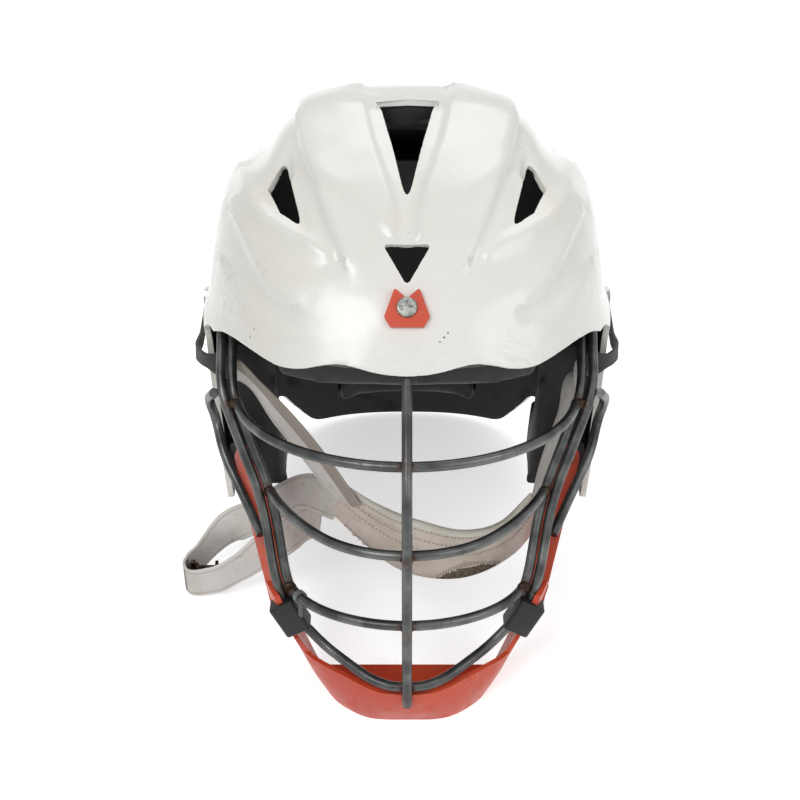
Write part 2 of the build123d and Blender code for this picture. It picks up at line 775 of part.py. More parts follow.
# Scrap of a tie round the left end of the lower bar
lower_path = bar_paths["lower_bar"]
tie_share = tie_reach / lower_path.length
tie_at = tie_share if (lower_path @ 0).X < 0 else 1 - tie_share
with BuildPart() as tie_scrap:
    tie_ring = Plane(origin=lower_path @ tie_at, x_dir=head.z_dir, z_dir=lower_path % tie_at)
    with BuildSketch(tie_ring.offset(-tie_width / 2)):
        Circle(wire_diameter / 2 + tie_thickness + fit_clearance)
        with Locations((-wire_diameter / 2 - tie_tail / 2, 0)):
            Rectangle(tie_tail, tie_thickness)
        Circle(wire_diameter / 2 + fit_clearance, mode=Mode.SUBTRACT)
    extrude(amount=tie_width)
pieces["tie_scrap"] = tie_scrap

# Temple studs and the hooks that turn on them
stud_across = surface_across(stud_back, stud_level)
hook_plane_across = stud_across + hook_stand
hook_reach = hook_arc_radius + hook_gap
aim_angle = math.radians(hook_aim)
hook_ends = {}
for side, name in ((-1, "left"), (1, "right")):
    hook_plane = Plane(
        origin=at(side * hook_plane_across, stud_back, stud_level), x_dir=head.y_dir, z_dir=(1, 0, 0)
    )
    with BuildPart() as temple_hook:
        with BuildSketch(hook_plane):
            with Locations(Location((0, 0, 0), (0, 0, 180 + hook_aim))):
                Circle(hook_eye_diameter / 2)
                with Locations((hook_arc_radius * 3 / 4, 0)):
                    Rectangle(hook_arc_radius / 2, hook_width)
                make_hull()
                Circle(hook_arc_radius, mode=Mode.INTERSECT)
                with Locations((hook_arc_radius * 3 / 4, 0)):
                    Rectangle(hook_slot_width, hook_width * 2 / 3, mode=Mode.SUBTRACT)
                Circle(stud_hole / 2, mode=Mode.SUBTRACT)
        extrude(amount=side * hook_thickness)
    pieces[f"temple_hook_{name}"] = temple_hook
    # Where the strap meets the hook: the place, and the direction of the band's width
    strap_start = (-hook_reach * math.cos(aim_angle), -hook_reach * math.sin(aim_angle), side * hook_thickness / 2)
    hook_ends[name] = (
        hook_plane.from_local_coords(strap_start),
        hook_plane.from_local_coords((-math.sin(aim_angle), math.cos(aim_angle), 0)) - hook_plane.origin,
    )
    with BuildPart() as temple_stud:
        with BuildSketch(hook_plane.offset(side * (hook_thickness + hook_gap / 2))):
            Circle(stud_head_diameter / 2)
        extrude(amount=side * stud_head_height)
        with BuildSketch(hook_plane.offset(side * (hook_thickness + hook_gap / 2))):
            Circle(stud_diameter / 2)
        extrude(amount=-side * (hook_thickness + hook_stand + hook_gap * 5 / 2 + wall))
        with BuildSketch(hook_plane.offset(-side * (hook_stand + wall + hook_gap * 2))):
            Circle(stud_head_diameter / 2)
        extrude(amount=-side * stud_head_height)
    pieces[f"temple_stud_{name}"] = temple_stud


# Straps
def band(stations):
    """A flat band through sections, each given by its centre and the direction of its width."""
    with BuildPart() as strap:
        for number, (place, width_aim) in enumerate(stations):
            before = stations[max(number - 1, 0)][0]
            after = stations[min(number + 1, len(stations) - 1)][0]
            run = after - before
            flat_aim = width_aim - run * (width_aim.dot(run) / run.dot(run))
            with BuildSketch(Plane(origin=place, x_dir=flat_aim, z_dir=run)):
                Rectangle(web_width, web_thickness)
        loft(ruled=True)
    return strap


def on_helmet(stations, side=1):
    """Stations of one side of the helmet, in the frame of the flat surface."""
    turned = []
    for place, aim in stations:
        width_aim = facing((0, 0, 0), (1, 0, 0), (0, 0, 1)).from_local_coords((side * aim[0], aim[1], aim[2]))
        turned.append((at(side * place[0], place[1], place[2]), width_aim - head.origin))
    return turned


for side, name in ((-1, "left"), (1, "right")):
    hanging = on_helmet(temple_stations + upper_stations[name], side)
    pieces[f"upper_strap_{name}"] = band([hook_ends[name]] + hanging)
pieces["lower_strap_right"] = band(on_helmet(lower_stations))
pieces["lower_strap_left"] = band([(Vector(*place), Vector(*aim)) for place, aim in loose_stations])

# Rivets that anchor the lower straps inside the shell
with BuildPart() as strap_anchors:
    anchor_across = surface_across(anchor_back, anchor_level) + anchor_stand
    for side in (-1, 1):
        anchor_plane = Plane(origin=at(side * anchor_across, anchor_back, anchor_level), x_dir=head.y_dir, z_dir=(1, 0, 0))
        with BuildSketch(anchor_plane):
            Circle(anchor_diameter / 2)
        extrude(amount=side * stud_head_height)
        with BuildSketch(anchor_plane):
            Circle(stud_diameter / 2)
        extrude(amount=-side * (wall + anchor_stand + web_thickness + hook_gap * 2))
pieces["strap_anchors"] = strap_anchors

# Pin in the fold of the loose strap, and the hook that turns on it
pin_foot = strap_pin_place[2] - web_width / 2
with BuildPart() as strap_pin:
    with BuildSketch(Plane(origin=(strap_pin_place[0], strap_pin_place[1], pin_foot))):
        Circle(strap_pin_diameter / 2)
    extrude(amount=web_width)
pieces["strap_pin"] = strap_pin
with BuildPart() as strap_hook:
    with BuildSketch(Plane(origin=(strap_pin_place[0], strap_pin_place[1], strap_pin_place[2] - strap_hook_height / 2))):
        Circle(strap_pin_diameter / 2 + strap_hook_wall)
        with Locations((strap_hook_length / 2, 0)):
            Rectangle(strap_hook_length, strap_hook_wall)
        with Locations((strap_hook_length, strap_hook_wall)):
            Rectangle(strap_hook_wall, strap_hook_wall * 3)
        Circle(strap_pin_diameter / 2 + fit_clearance, mode=Mode.SUBTRACT)
    extrude(amount=strap_hook_height)
pieces["strap_hook"] = strap_hook

# Chin cup: a padded bow, tall and thick in its middle
with BuildPart() as chin_cup:
    for number, (place, height, thickness) in enumerate(cup_stations):
        before = at(*cup_stations[max(number - 1, 0)][0])
        after = at(*cup_stations[min(number + 1, len(cup_stations) - 1)][0])
        aim = at(*cup_width_aim) - head.origin
        with BuildSketch(Plane(origin=at(*place), x_dir=aim, z_dir=after - before)):
            RectangleRounded(height, thickness, thickness * cup_corner_share)
    loft()
pieces["chin_cup"] = chin_cup

# Rear fit system: housing on the shell, yoke that slides in it, pad, release button and screws
stem_back = yoke_centre_back + yoke_radius
housing_form = shell_form(wall + liner_gap)
with BuildPart() as fit_housing:
    add(housing_form)
    with BuildSketch(head.offset(yoke_level - housing_height / 2)):
        with Locations((0, housing_front + back_reach / 2)):
            Rectangle(housing_width, back_reach)
    extrude(amount=housing_height, mode=Mode.INTERSECT)
    with BuildSketch(front_view.offset(-housing_front + slide_clearance)):
        with Locations((0, yoke_level)):
            Rectangle(stem_width + 2 * slide_clearance, stem_height + 2 * slide_clearance)
    extrude(amount=housing_front - stem_end - slide_clearance * 2, mode=Mode.SUBTRACT)
    with BuildSketch(front_view.offset(-back_reach)):
        with Locations((0, yoke_level)):
            Circle(button_diameter / 2 + slide_clearance)
    extrude(amount=back_reach - stem_end, mode=Mode.SUBTRACT)
    with BuildSketch(front_view.offset(-back_reach)):
        with Locations(*[(side * fit_screw_across, yoke_level) for side in (-1, 1)]):
            Circle(fit_screw_diameter / 2)
    extrude(amount=fit_screw_length, mode=Mode.SUBTRACT)
pieces["fit_housing"] = fit_housing


def arched_plate(inner_radius, thickness, half_angle, height):
    """A plate bent round the back of the head."""
    with BuildPart() as plate:
        with BuildSketch(head.offset(yoke_level - height / 2)):
            with Locations((0, yoke_centre_back)):
                Circle(inner_radius + thickness)
                Circle(inner_radius, mode=Mode.SUBTRACT)
                spread = 2 * (inner_radius + thickness) * math.sin(math.radians(half_angle))
                with Locations((0, inner_radius)):
                    Rectangle(spread, inner_radius, mode=Mode.INTERSECT)
        extrude(amount=height)
    return plate.part


with BuildPart() as fit_yoke:
    add(arched_plate(yoke_radius - yoke_thickness, yoke_thickness, yoke_half_angle, yoke_height))
    with BuildSketch(front_view.offset(-stem_end)):
        with Locations((0, yoke_level)):
            Rectangle(stem_width, stem_height)
    extrude(amount=stem_end - stem_back + yoke_thickness / 2)
pieces["fit_yoke"] = fit_yoke
pad_radius = yoke_radius - yoke_thickness - yoke_pad_thickness - liner_gap
with BuildPart() as yoke_pad:
    add(arched_plate(pad_radius, yoke_pad_thickness, yoke_half_angle, yoke_height - liner_gap * 2))
pieces["yoke_pad"] = yoke_pad
with BuildPart() as fit_button:
    with BuildSketch(front_view.offset(-nape_reach - button_proud)):
        with Locations((0, yoke_level)):
            Circle(button_diameter / 2)
    extrude(amount=button_length)
    fillet(fit_button.edges().sort_by(Axis(head.origin, head.y_dir))[-1], radius=button_proud / 3)
pieces["fit_button"] = fit_button
with BuildPart() as fit_screws:
    for side in (-1, 1):
        with BuildSketch(front_view.offset(-nape_reach - seat_gap)):
            with Locations((side * fit_screw_across, yoke_level)):
                Circle(fit_screw_head_diameter / 2)
        extrude(amount=-fit_screw_head_height)
        with BuildSketch(front_view.offset(-nape_reach - seat_gap)):
            with Locations((side * fit_screw_across, yoke_level)):
                Circle(fit_screw_diameter / 2)
        extrude(amount=fit_screw_length - fit_screw_head_height)
pieces["fit_screws"] = fit_screws

for name, piece in pieces.items():
    piece.part.label = name
    export_step(piece.part, f"parts/{name}.step")
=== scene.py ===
"""Looks of a used lacrosse helmet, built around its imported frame."""

import math

import bmesh
import bpy
import numpy as np
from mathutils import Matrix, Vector
from mathutils.bvhtree import BVHTree


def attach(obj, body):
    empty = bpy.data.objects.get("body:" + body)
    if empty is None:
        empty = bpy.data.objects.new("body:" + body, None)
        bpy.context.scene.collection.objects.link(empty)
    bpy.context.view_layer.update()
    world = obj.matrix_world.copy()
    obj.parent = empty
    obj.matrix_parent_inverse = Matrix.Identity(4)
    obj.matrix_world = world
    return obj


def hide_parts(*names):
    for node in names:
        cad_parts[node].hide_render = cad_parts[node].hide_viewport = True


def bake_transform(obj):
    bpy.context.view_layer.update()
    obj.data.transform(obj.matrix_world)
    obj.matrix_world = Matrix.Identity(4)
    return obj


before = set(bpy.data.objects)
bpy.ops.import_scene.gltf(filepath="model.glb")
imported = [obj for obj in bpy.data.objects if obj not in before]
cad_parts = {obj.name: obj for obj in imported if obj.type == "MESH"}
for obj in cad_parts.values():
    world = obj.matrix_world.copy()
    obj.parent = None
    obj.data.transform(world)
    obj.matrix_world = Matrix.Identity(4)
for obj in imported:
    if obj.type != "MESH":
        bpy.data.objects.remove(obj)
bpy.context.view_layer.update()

bl_info = {
    "name": "Lacrosse helmet",
    "version": (1, 0, 0),
    "blender": (4, 5, 0),
    "location": "View3D > Sidebar > Helmet",
    "description": "Builds the looks of a used lacrosse helmet around its frame",
    "category": "Object",
}

MM = 0.001
ROOT = "helmet"
SIDES = ((-1, "left"), (1, "right"))

# Helmet axes: across, back and rise along the head, leaning back on the flat surface
LEAN = math.radians(17.0)
HEAD_BACK = 35.0
HEAD_RISE = 150.0

# Shell rows: height, half width, front and back reach in mm
HALF_WIDTH = 109.5
FRONT_REACH = 134.0
BACK_REACH = 121.0
CROWN_RISE = 119.0
SKIRT_DROP = 125.0
WALL = 3.2
PLAN_POWER = 2 / 2.5
SKIRT_SHARES = [
    (-1.00, 0.905, 1.000, 0.992),
    (-0.50, 0.962, 1.000, 0.987),
]
CROWN_SHARES = [
    (0.00, 1.000, 1.000, 0.992),
    (0.13, 0.982, 0.955, 0.985),
    (0.25, 0.960, 0.905, 0.960),
    (0.38, 0.936, 0.836, 0.920),
    (0.50, 0.914, 0.757, 0.862),
    (0.605, 0.863, 0.680, 0.795),
    (0.67, 0.760, 0.620, 0.745),
    (0.74, 0.676, 0.545, 0.687),
    (0.82, 0.621, 0.434, 0.603),
    (0.875, 0.575, 0.351, 0.525),
    (0.925, 0.521, 0.254, 0.446),
    (0.965, 0.438, 0.180, 0.364),
    (0.988, 0.347, 0.128, 0.298),
    (1.00, 0.200, 0.075, 0.215),
]
CAP_RINGS = (0.8, 0.6, 0.4, 0.2)
CAP_DOME = 0.9

# Relief of the left half, on the helmet axes in mm, with the height of each profile and its reach.
# A step is positive where the side towards the middle stands higher. A ridge is negative as a groove.
RELIEF = [
    ("step", 3.8, 11.0, [
        (-57, 40, 106), (-58.0, -1.4, 109.2), (-55.6, -28.9, 103.5), (-51.7, -47.0, 95.6),
        (-48.8, -55.4, 91.8), (-44.8, -69.1, 84.4), (-38.3, -85.8, 73.2), (-32.2, -96.6, 62.4),
    ]),
    ("step", 1.8, 12.0, [
        (-48.8, -55.4, 91.8), (-38.9, -65.9, 88.6), (-26.7, -76.3, 83.6), (-16.7, -84.4, 77.9),
        (-9.8, -91.0, 72.0),
    ]),
    ("ridge", 2.0, 4.0, [
        (-90.6, 17.6, 74.3), (-83.5, -29.3, 77.9), (-77.1, -55.6, 75.1), (-69.9, -71.0, 71.6),
        (-60.4, -80.2, 69.3), (-50.1, -87.7, 66.6), (-40.1, -94.5, 62.7),
    ]),
    ("step", 2.8, 12.0, [
        (-90.5, -42.1, 68.8), (-84.0, -64.3, 62.0), (-78.0, -78.4, 54.1), (-72.4, -88.8, 47.2),
        (-67.0, -96.6, 41.7), (-59.8, -102.6, 39.8),
    ]),
    ("step", -1.8, 11.0, [
        (-94.0, -58.5, 45.0), (-83.3, -81.0, 40.2), (-74.3, -94.1, 35.5), (-63.8, -104.0, 33.0),
    ]),
]
STEP_WIDTH = 1.9
# The sunk strip along the middle: back and half width, with its depth
SUNK_STRIP = [
    (-84.0, 5.0), (-76.2, 6.9), (-67.0, 9.4), (-56.5, 13.0), (-40.9, 17.3), (-21.8, 20.7), (20.2, 23.0),
    (58.0, 24.5),
]
SUNK_DEPTH = 3.2
END_FADE = 14.0
# The sunk rims of the vents: depth and width
SIDE_RIM = (1.3, 4.5)
TOP_RIM = (0.9, 3.0)

# Lower edge of the shell in side view: back, rise and corner radius
LIP_LEVEL = 11.0
LOWER_EDGE = [
    (-400.0, LIP_LEVEL, 0), (-58.0, LIP_LEVEL, 10), (-41.0, 2.0, 4), (-37.0, -60.0, 6), (-37.0, -104.0, 8),
    (38.0, -104.0, 8), (64.0, -93.0, 8), (88.0, -93.0, 8), (105.0, -118.47, 8), (400.0, -118.47, 0),
    (400.0, -400.0, 0), (-400.0, -400.0, 0),
]
# Visor lip seen from the front: across and rise of its edge
LIP_EDGE = [
    (0.0, 11.8), (8.0, 12.2), (17.6, 13.6), (26.3, 15.5), (32.1, 16.2), (40.0, 15.3), (46.1, 13.7),
    (51.8, 12.2), (57.6, 11.5), (63.0, 11.5), (70.4, 13.1), (77.8, 14.9), (86.3, 16.0), (93.5, 15.0),
    (102.0, 9.0),
]

# Vents, seen from above. The front vent is seen square to its slope, from the place and direction below.
TOP_VENT = [(-16.0, -4.0), (0.0, -78.0), (16.0, -4.0)]
FRONT_VENT = [(-12.0, 0.0), (0.0, -21.5), (12.0, 0.0)]
SIDE_VENT = [(62.0, -32.0), (71.0, -48.0), (63.2, -70.0), (51.5, -82.5), (58.0, -55.0)]
FRONT_VENT_PLACE = (0, -93, 65)
FRONT_VENT_TILT = math.radians(45.0)

# Holes: the two places on the view's axes, then the radius, or the width and the length of an upright slot
EAR_SLOT = (4, -48, 22, 40)
TEMPLE_STUD_HOLE = (18, -2, 2.58)
ANCHOR_HOLE = (44, -97, 2.58)
SHOULDER_SLOT = (81, 42, 5, 14)
REAR_SLOT = (30, 48, 12, 42)
FIT_SCREW_HOLE = (17.5, -71, 1.58)
FIT_BUTTON_HOLE = (0, -71, 6.15)
BADGE_HOLE = (0, 0, 2.08)
BADGE_PLACE = (0, -114.6, 41.0)
BADGE_TILT = math.radians(31.0)

# Wear on the shell, on the helmet axes in mm: place and size of each speck
SPECKS = [
    ((-69.0, -72.4, 70.8), 0.7), ((-66.9, -74.4, 70.4), 0.5), ((-35.7, -32.8, 108.1), 0.6),
    ((-43.2, -37.2, 104.6), 0.8), ((-77.6, -99.0, 20.0), 0.6), ((-75.0, -99.1, 24.3), 0.9),
    ((-84.3, -94.1, 13.7), 0.8), ((15.8, -122.1, 26.6), 0.7), ((17.8, -121.1, 28.6), 0.8),
    ((19.7, -120.1, 30.5), 0.7),
]

# Straps: centre places on the helmet axes in mm, each with the direction of the band's width
WEB_WIDTH = 20.0
WEB_THICKNESS = 1.6
# Half of a band's section: share of its half width, and share of its half thickness
WEB_SECTION = [
    (-1.0, 0.45), (-0.97, 0.95), (-0.9, 1.0), (-0.6, 0.9), (-0.3, 0.9), (0.0, 0.9), (0.3, 0.9), (0.6, 0.9),
    (0.9, 1.0), (0.97, 0.95), (1.0, 0.45),
]
# The narrow tab at the hook, along which the webbing is painted dark grey as shade, and the beige lining
# along one edge, in metres
TAB_LENGTH = 0.068
TAB_TAPER = 0.014
TAB_SHARE = 0.42
LINING_WIDTH = 0.008
HOOK_END = ((112.3, 3.2, -6.2), (0, -0.28, 0.96))
TEMPLE_STATIONS = [
    ((112.4, -18.0, -12.5), (0, -0.1, 1)),
    ((111.9, -40.0, -13.0), (0, 0, 1)),
    ((106.0, -49.0, -13.5), (0.1, -0.1, 1)),
    ((94.0, -51.0, -16.0), (0.3, -0.3, 0.9)),
]
UPPER_STATIONS = {
    "left": [((64.0, -62.0, -44.0), (-0.5, -0.62, 0.55)), ((36.5, -75.5, -77.0), (-0.5, -0.62, 0.55)),
             ((30.0, -79.0, -86.0), (-0.5, -0.62, 0.55))],
    "right": [((83.0, -55.0, -46.0), (0.15, -0.95, 0.2)), ((74.0, -63.0, -72.0), (0.15, -0.95, 0.1)),
              ((70.0, -66.0, -94.0), (0.2, -0.9, 0.1))],
}
LOWER_STATIONS = [
    ((72.0, -63.0, -90.0), (0.3, 0.1, 0.9)),
    ((83.0, -42.0, -110.0), (0, 0.4, 1)),
    ((89.0, -8.0, -116.0), (0, 0.1, 1)),
    ((92.5, 28.0, -111.0), (0, -0.3, 1)),
    ((93.0, 46.0, -99.0), (0, -0.6, 1)),
]
# The unhooked strap, in the frame of the flat surface in mm
LOOSE_STATIONS = [
    ((-37.0, -60.0, 90.0), (0.5, 0.3, 0.8)),
    ((-60.0, -33.0, 71.0), (0.5, 0.3, 0.8)),
    ((-82.0, -28.0, 49.0), (0.45, 0.2, 0.85)),
    ((-104.0, -21.0, 29.0), (0.3, 0.1, 0.9)),
    ((-119.0, -27.0, 15.0), (0.1, 0, 1)),
    ((-126.0, -33.0, 11.0), (0, 0, 1)),
    ((-128.0, -38.5, 11.0), (0, 0, 1)),
    ((-126.0, -44.0, 11.0), (0, 0, 1)),
    ((-112.0, -47.0, 14.0), (0.1, 0, 1)),
    ((-96.0, -46.0, 23.0), (0.3, 0, 0.9)),
    ((-78.0, -45.0, 39.0), (0.4, 0.1, 0.85)),
    ((-60.0, -48.0, 58.0), (0.45, 0.2, 0.85)),
    ((-47.0, -56.0, 74.0), (0.5, 0.3, 0.8)),
]

# Stitches across the fold of the unhooked strap, beside the fold's middle row
FOLD_ROWS = (-3, 3)
FOLD_STITCHES = 17
FOLD_SHARE = 0.9
FOLD_SLANT = 1.6
FOLD_THREAD = 0.28

# Chin cup: centre place, height and thickness of each section
CUP_STATIONS = [
    ((-36.0, -75.0, -83.0), 19.0, 3.0),
    ((-19.0, -85.0, -92.0), 23.5, 7.0),
    ((3.0, -92.5, -101.5), 29.5, 9.0),
    ((28.0, -92.0, -106.5), 26.5, 9.5),
    ((52.0, -80.0, -104.5), 21.0, 8.0),
    ((71.0, -65.0, -91.0), 18.0, 3.0),
]
CUP_AIM = (0, 0.2, 0.98)
# Seams as shares of half the height, and the mesh patch at the lower edge: places across in mm
CUP_SEAMS = (0.74, 0.40, 0.05)
PATCH_MIDDLE = 32.0
PATCH_REACH = 15.0
PATCH_SHARE = 0.55
FRILL_FROM = -28.0
FRILL_TO = -6.0
CUP_POINTS = 56
CUP_STEPS = 110
CUP_POWER = 3.2
CUP_SIDE_POWER = 2.4
GROOVE_DEPTH = 0.9
GROOVE_WIDTH = 0.8
CUP_THREAD = 0.24

# Clamps round the wire ends at the chin guard: the middles of both ends on the helmet axes, and the section
BOOT_ENDS = ((66.2, -109.0, -124.5), (56.8, -107.6, -142.0))
BOOT_WIDTH = 14.5
BOOT_DEPTH = 13.0
BOOT_CORNER = 2.5

# Weld beads: half sizes in mm
BEAD_SIZE = (3.3, 2.6, 3.1)

# Pads: size of the remesh and how far the foam may puff out, in mm
PADS = {
    "brow_pad": (4.5, 0.4),
    "crown_pad": (4.5, 1.0),
    "rear_pad": (4.5, 1.0),
    "temple_pad_left": (4.5, 0.4),
    "temple_pad_right": (4.5, 0.4),
    "jaw_pad_left": (4.5, 0.4),
    "jaw_pad_right": (4.5, 0.4),
    "yoke_pad": (4.0, 0.3),
}
PUFF_FRAMES = 20

# Stage: each lamp's place, share of the lamp power and size, and the camera
LAMPS = {
    "Key lamp": ((-0.55, -0.85, 1.35), 1.0, 0.7),
    "Fill lamp": ((0.95, -0.65, 0.9), 0.45, 0.8),
    "Rear lamp": ((0.1, 1.0, 1.2), 0.5, 0.9),
}
FLOOR_REACH = 3.0
CAMERA_PLACE = (0.0, -0.6792, 0.7005)
CAMERA_TARGET = (0.0, 0.0, 0.110)
CAMERA_LENS = 72.97
CAMERA_SHIFT = -0.00875


# Places and colours
def at(across, back, rise):
    """A point given on the helmet axes in mm, in the frame of the flat surface in metres."""
    return Vector((
        across,
        HEAD_BACK + back * math.cos(LEAN) + rise * math.sin(LEAN),
        HEAD_RISE - back * math.sin(LEAN) + rise * math.cos(LEAN),
    )) * MM


def turned(across, back, rise):
    """A direction given on the helmet axes, in the frame of the flat surface."""
    return (at(across, back, rise) - at(0, 0, 0)).normalized()


def on_head(points):
    """Rows of points on the helmet axes in mm, in the frame of the flat surface in metres."""
    across, back, rise = points[..., 0], points[..., 1], points[..., 2]
    return MM * np.stack([
        across,
        HEAD_BACK + back * math.cos(LEAN) + rise * math.sin(LEAN),
        HEAD_RISE - back * math.sin(LEAN) + rise * math.cos(LEAN),
    ], axis=-1)


def linear(code):
    """An sRGB hex colour as linear values with full alpha."""
    values = [int(code[place:place + 2], 16) / 255 for place in (1, 3, 5)]
    return tuple(v / 12.92 if v <= 0.04045 else ((v + 0.055) / 1.055) ** 2.4 for v in values) + (1.0,)


def smooth_rows(rows, count):
    """A smooth curve through rows of numbers, spaced evenly along its first three columns."""
    rows = np.array(rows, float)
    knots = np.concatenate([[0], np.cumsum(np.linalg.norm(np.diff(rows[:, :3], axis=0), axis=1))])
    slopes = np.gradient(rows, knots, axis=0)
    places = np.linspace(0, knots[-1], count)
    spans = np.clip(np.searchsorted(knots, places, side="right") - 1, 0, len(rows) - 2)
    width = (knots[spans + 1] - knots[spans])[:, None]
    share = ((places - knots[spans])[:, None]) / width
    square, cube = share ** 2, share ** 3
    return (
        (2 * cube - 3 * square + 1) * rows[spans]
        + (cube - 2 * square + share) * width * slopes[spans]
        + (3 * square - 2 * cube) * rows[spans + 1]
        + (cube - square) * width * slopes[spans + 1]
    )


def rounded(points, radius, steps=5):
    """A polygon with its corners rounded. Each corner may have its own radius as a third number."""
    result = []
    for number, corner in enumerate(points):
        here = np.array(corner[:2], float)
        reach = corner[2] if len(corner) > 2 else radius
        before = np.array(points[number - 1][:2], float) - here
        after = np.array(points[(number + 1) % len(points)][:2], float) - here
        size = min(np.linalg.norm(before), np.linalg.norm(after))
        if reach <= 0:
            result.append(tuple(here))
            continue
        cosine = before @ after / np.linalg.norm(before) / np.linalg.norm(after)
        half = math.acos(max(-1, min(1, cosine))) / 2
        cut = min(reach / math.tan(half), size * 0.45)
        first = here + before / np.linalg.norm(before) * cut
        last = here + after / np.linalg.norm(after) * cut
        for step in range(steps + 1):
            share = step / steps
            rest = 1 - share
            result.append(tuple(rest ** 2 * first + 2 * share * rest * here + share ** 2 * last))
    return result


# Scene objects
def make_object(name, vertices, faces, materials=(), smooth=True):
    """A mesh object at the origin from points in metres."""
    mesh = bpy.data.meshes.new(name)
    mesh.from_pydata([tuple(v) for v in vertices], [], faces)
    mesh.update()
    made = bpy.data.objects.new(name, mesh)
    bpy.context.scene.collection.objects.link(made)
    for material in materials:
        mesh.materials.append(material)
    for face in mesh.polygons:
        face.use_smooth = smooth
    return made


def activate(obj):
    """Makes obj the only selected and the active object."""
    bpy.ops.object.select_all(action="DESELECT")
    obj.select_set(True)
    bpy.context.view_layer.objects.active = obj


def face_outwards(obj):
    """Turns the faces of a closed mesh outwards."""
    activate(obj)
    bpy.ops.object.mode_set(mode="EDIT")
    bpy.ops.mesh.select_all(action="SELECT")
    bpy.ops.mesh.normals_make_consistent(inside=False)
    bpy.ops.object.mode_set(mode="OBJECT")


def smooth_shading(obj, degrees):
    """Smooth shading, apart from edges that turn by more than an angle."""
    activate(obj)
    bpy.ops.object.shade_smooth_by_angle(angle=math.radians(degrees))


def grid_faces(rows, columns):
    """Faces between rows of points, each row closed round."""
    return [(row * columns + i, row * columns + (i + 1) % columns,
             (row + 1) * columns + (i + 1) % columns, (row + 1) * columns + i)
            for row in range(rows - 1) for i in range(columns)]


def end_faces(rows, columns):
    """Faces that close the first and the last row of points."""
    last = (rows - 1) * columns
    return [tuple(range(columns - 1, -1, -1)), tuple(range(last, last + columns))]


def apply_modifier(obj, kind, **settings):
    """Adds a modifier with its settings and applies it."""
    modifier = obj.modifiers.new(kind.title(), kind)
    for key, value in settings.items():
        setattr(modifier, key, value)
    activate(obj)
    bpy.ops.object.modifier_apply(modifier=modifier.name)


def joined(objects, name):
    """Several objects as one, under a new name."""
    bpy.ops.object.select_all(action="DESELECT")
    for obj in objects:
        obj.select_set(True)
    bpy.context.view_layer.objects.active = objects[0]
    if len(objects) > 1:
        bpy.ops.object.join()
    objects[0].name = name
    objects[0].data.name = name
    return objects[0]


def prism(name, outline, origin, across, up, along, low, high):
    """A closed prism: an outline on two axes through an origin, from low to high along a third axis."""
    origin, across, up, along = (np.array(v, float) for v in (origin, across, up, along))
    ring = [origin + x * across + y * up for x, y in outline]
    points = np.array([p + low * along for p in ring] + [p + high * along for p in ring])
    count = len(outline)
    faces = [tuple(range(count)), tuple(range(2 * count - 1, count - 1, -1))]
    faces += [(i, i + count, (i + 1) % count + count, (i + 1) % count) for i in range(count)]
    made = make_object(name, on_head(points), faces, smooth=False)
    face_outwards(made)
    return made


def cad_points(node):
    """The vertices of a CAD node in metres."""
    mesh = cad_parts[node].data
    points = np.zeros(len(mesh.vertices) * 3)
    mesh.vertices.foreach_get("co", points)
    return points.reshape(-1, 3)


def contact(one, other, reach=4.0, count=12):
    """The middle of the place where two CAD nodes touch, in metres. The reach is in mm."""
    tree = BVHTree.FromObject(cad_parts[other], bpy.context.evaluated_depsgraph_get())
    close = []
    for point in cad_points(one):
        near = tree.find_nearest(Vector(point), reach * MM)
        if near[0] is not None:
            close.append((near[3], tuple((Vector(point) + near[0]) / 2)))
    if not close:
        raise RuntimeError(f"{one} and {other} don't touch")
    closest = [Vector(place) for away, place in sorted(close)[:count]]
    return sum(closest, Vector()) / len(closest)


# Shader nodes
def add_node(tree, kind, inputs=None, **settings):
    """A shader node with its settings, and with values or sockets for its inputs."""
    node = tree.nodes.new(kind)
    for key, value in settings.items():
        setattr(node, key, value)
    for key, value in (inputs or {}).items():
        if isinstance(value, bpy.types.NodeSocket):
            tree.links.new(value, node.inputs[key])
        else:
            node.inputs[key].default_value = value
    return node


def noise(tree, where, scale, detail=3.0, roughness=0.5):
    """Smooth random values, about 0.5 in their middle."""
    made = add_node(tree, "ShaderNodeTexNoise", {
        "Vector": where, "Scale": scale, "Detail": detail, "Roughness": roughness,
    })
    return made.outputs["Fac"]


def mask(tree, value, low, high, least=0.0, most=1.0):
    """A value brought smoothly from low and high to least and most."""
    made = add_node(tree, "ShaderNodeMapRange", {
        "Value": value, "From Min": low, "From Max": high, "To Min": least, "To Max": most,
    }, interpolation_type="SMOOTHSTEP")
    return made.outputs["Result"]


def math_node(tree, operation, one, other=0.0):
    """A sum, product or the like of two values."""
    return add_node(tree, "ShaderNodeMath", {0: one, 1: other}, operation=operation).outputs[0]


def mixed(tree, share, one, other):
    """Two colours mixed by a share."""
    return add_node(tree, "ShaderNodeMix", {0: share, 6: one, 7: other}, data_type="RGBA").outputs[2]


def stretched(tree, where, scale):
    """Coordinates scaled by a different amount along each axis."""
    return add_node(tree, "ShaderNodeMapping", {"Vector": where, "Scale": scale}).outputs["Vector"]


def product(tree, one, other):
    """The product of two values."""
    return math_node(tree, "MULTIPLY", one, other)


def thin_lines(tree, where, scale, low, high):
    """A mask that is 1 along thin wandering lines."""
    lines = noise(tree, stretched(tree, where, scale), 1.0, 3.0)
    away = math_node(tree, "ABSOLUTE", math_node(tree, "SUBTRACT", lines, 0.5))
    return mask(tree, away, low, high, 1.0, 0.0)


def near_points(tree, where, places):
    """A mask that is 1 at each place and falls to 0 at its radius, both in metres."""
    total = None
    for place, radius in places:
        away = add_node(tree, "ShaderNodeVectorMath", {0: where, 1: place}, operation="DISTANCE")
        here = mask(tree, away.outputs["Value"], radius * 0.3, radius, 1.0, 0.0)
        total = here if total is None else math_node(tree, "MAXIMUM", total, here)
    return total


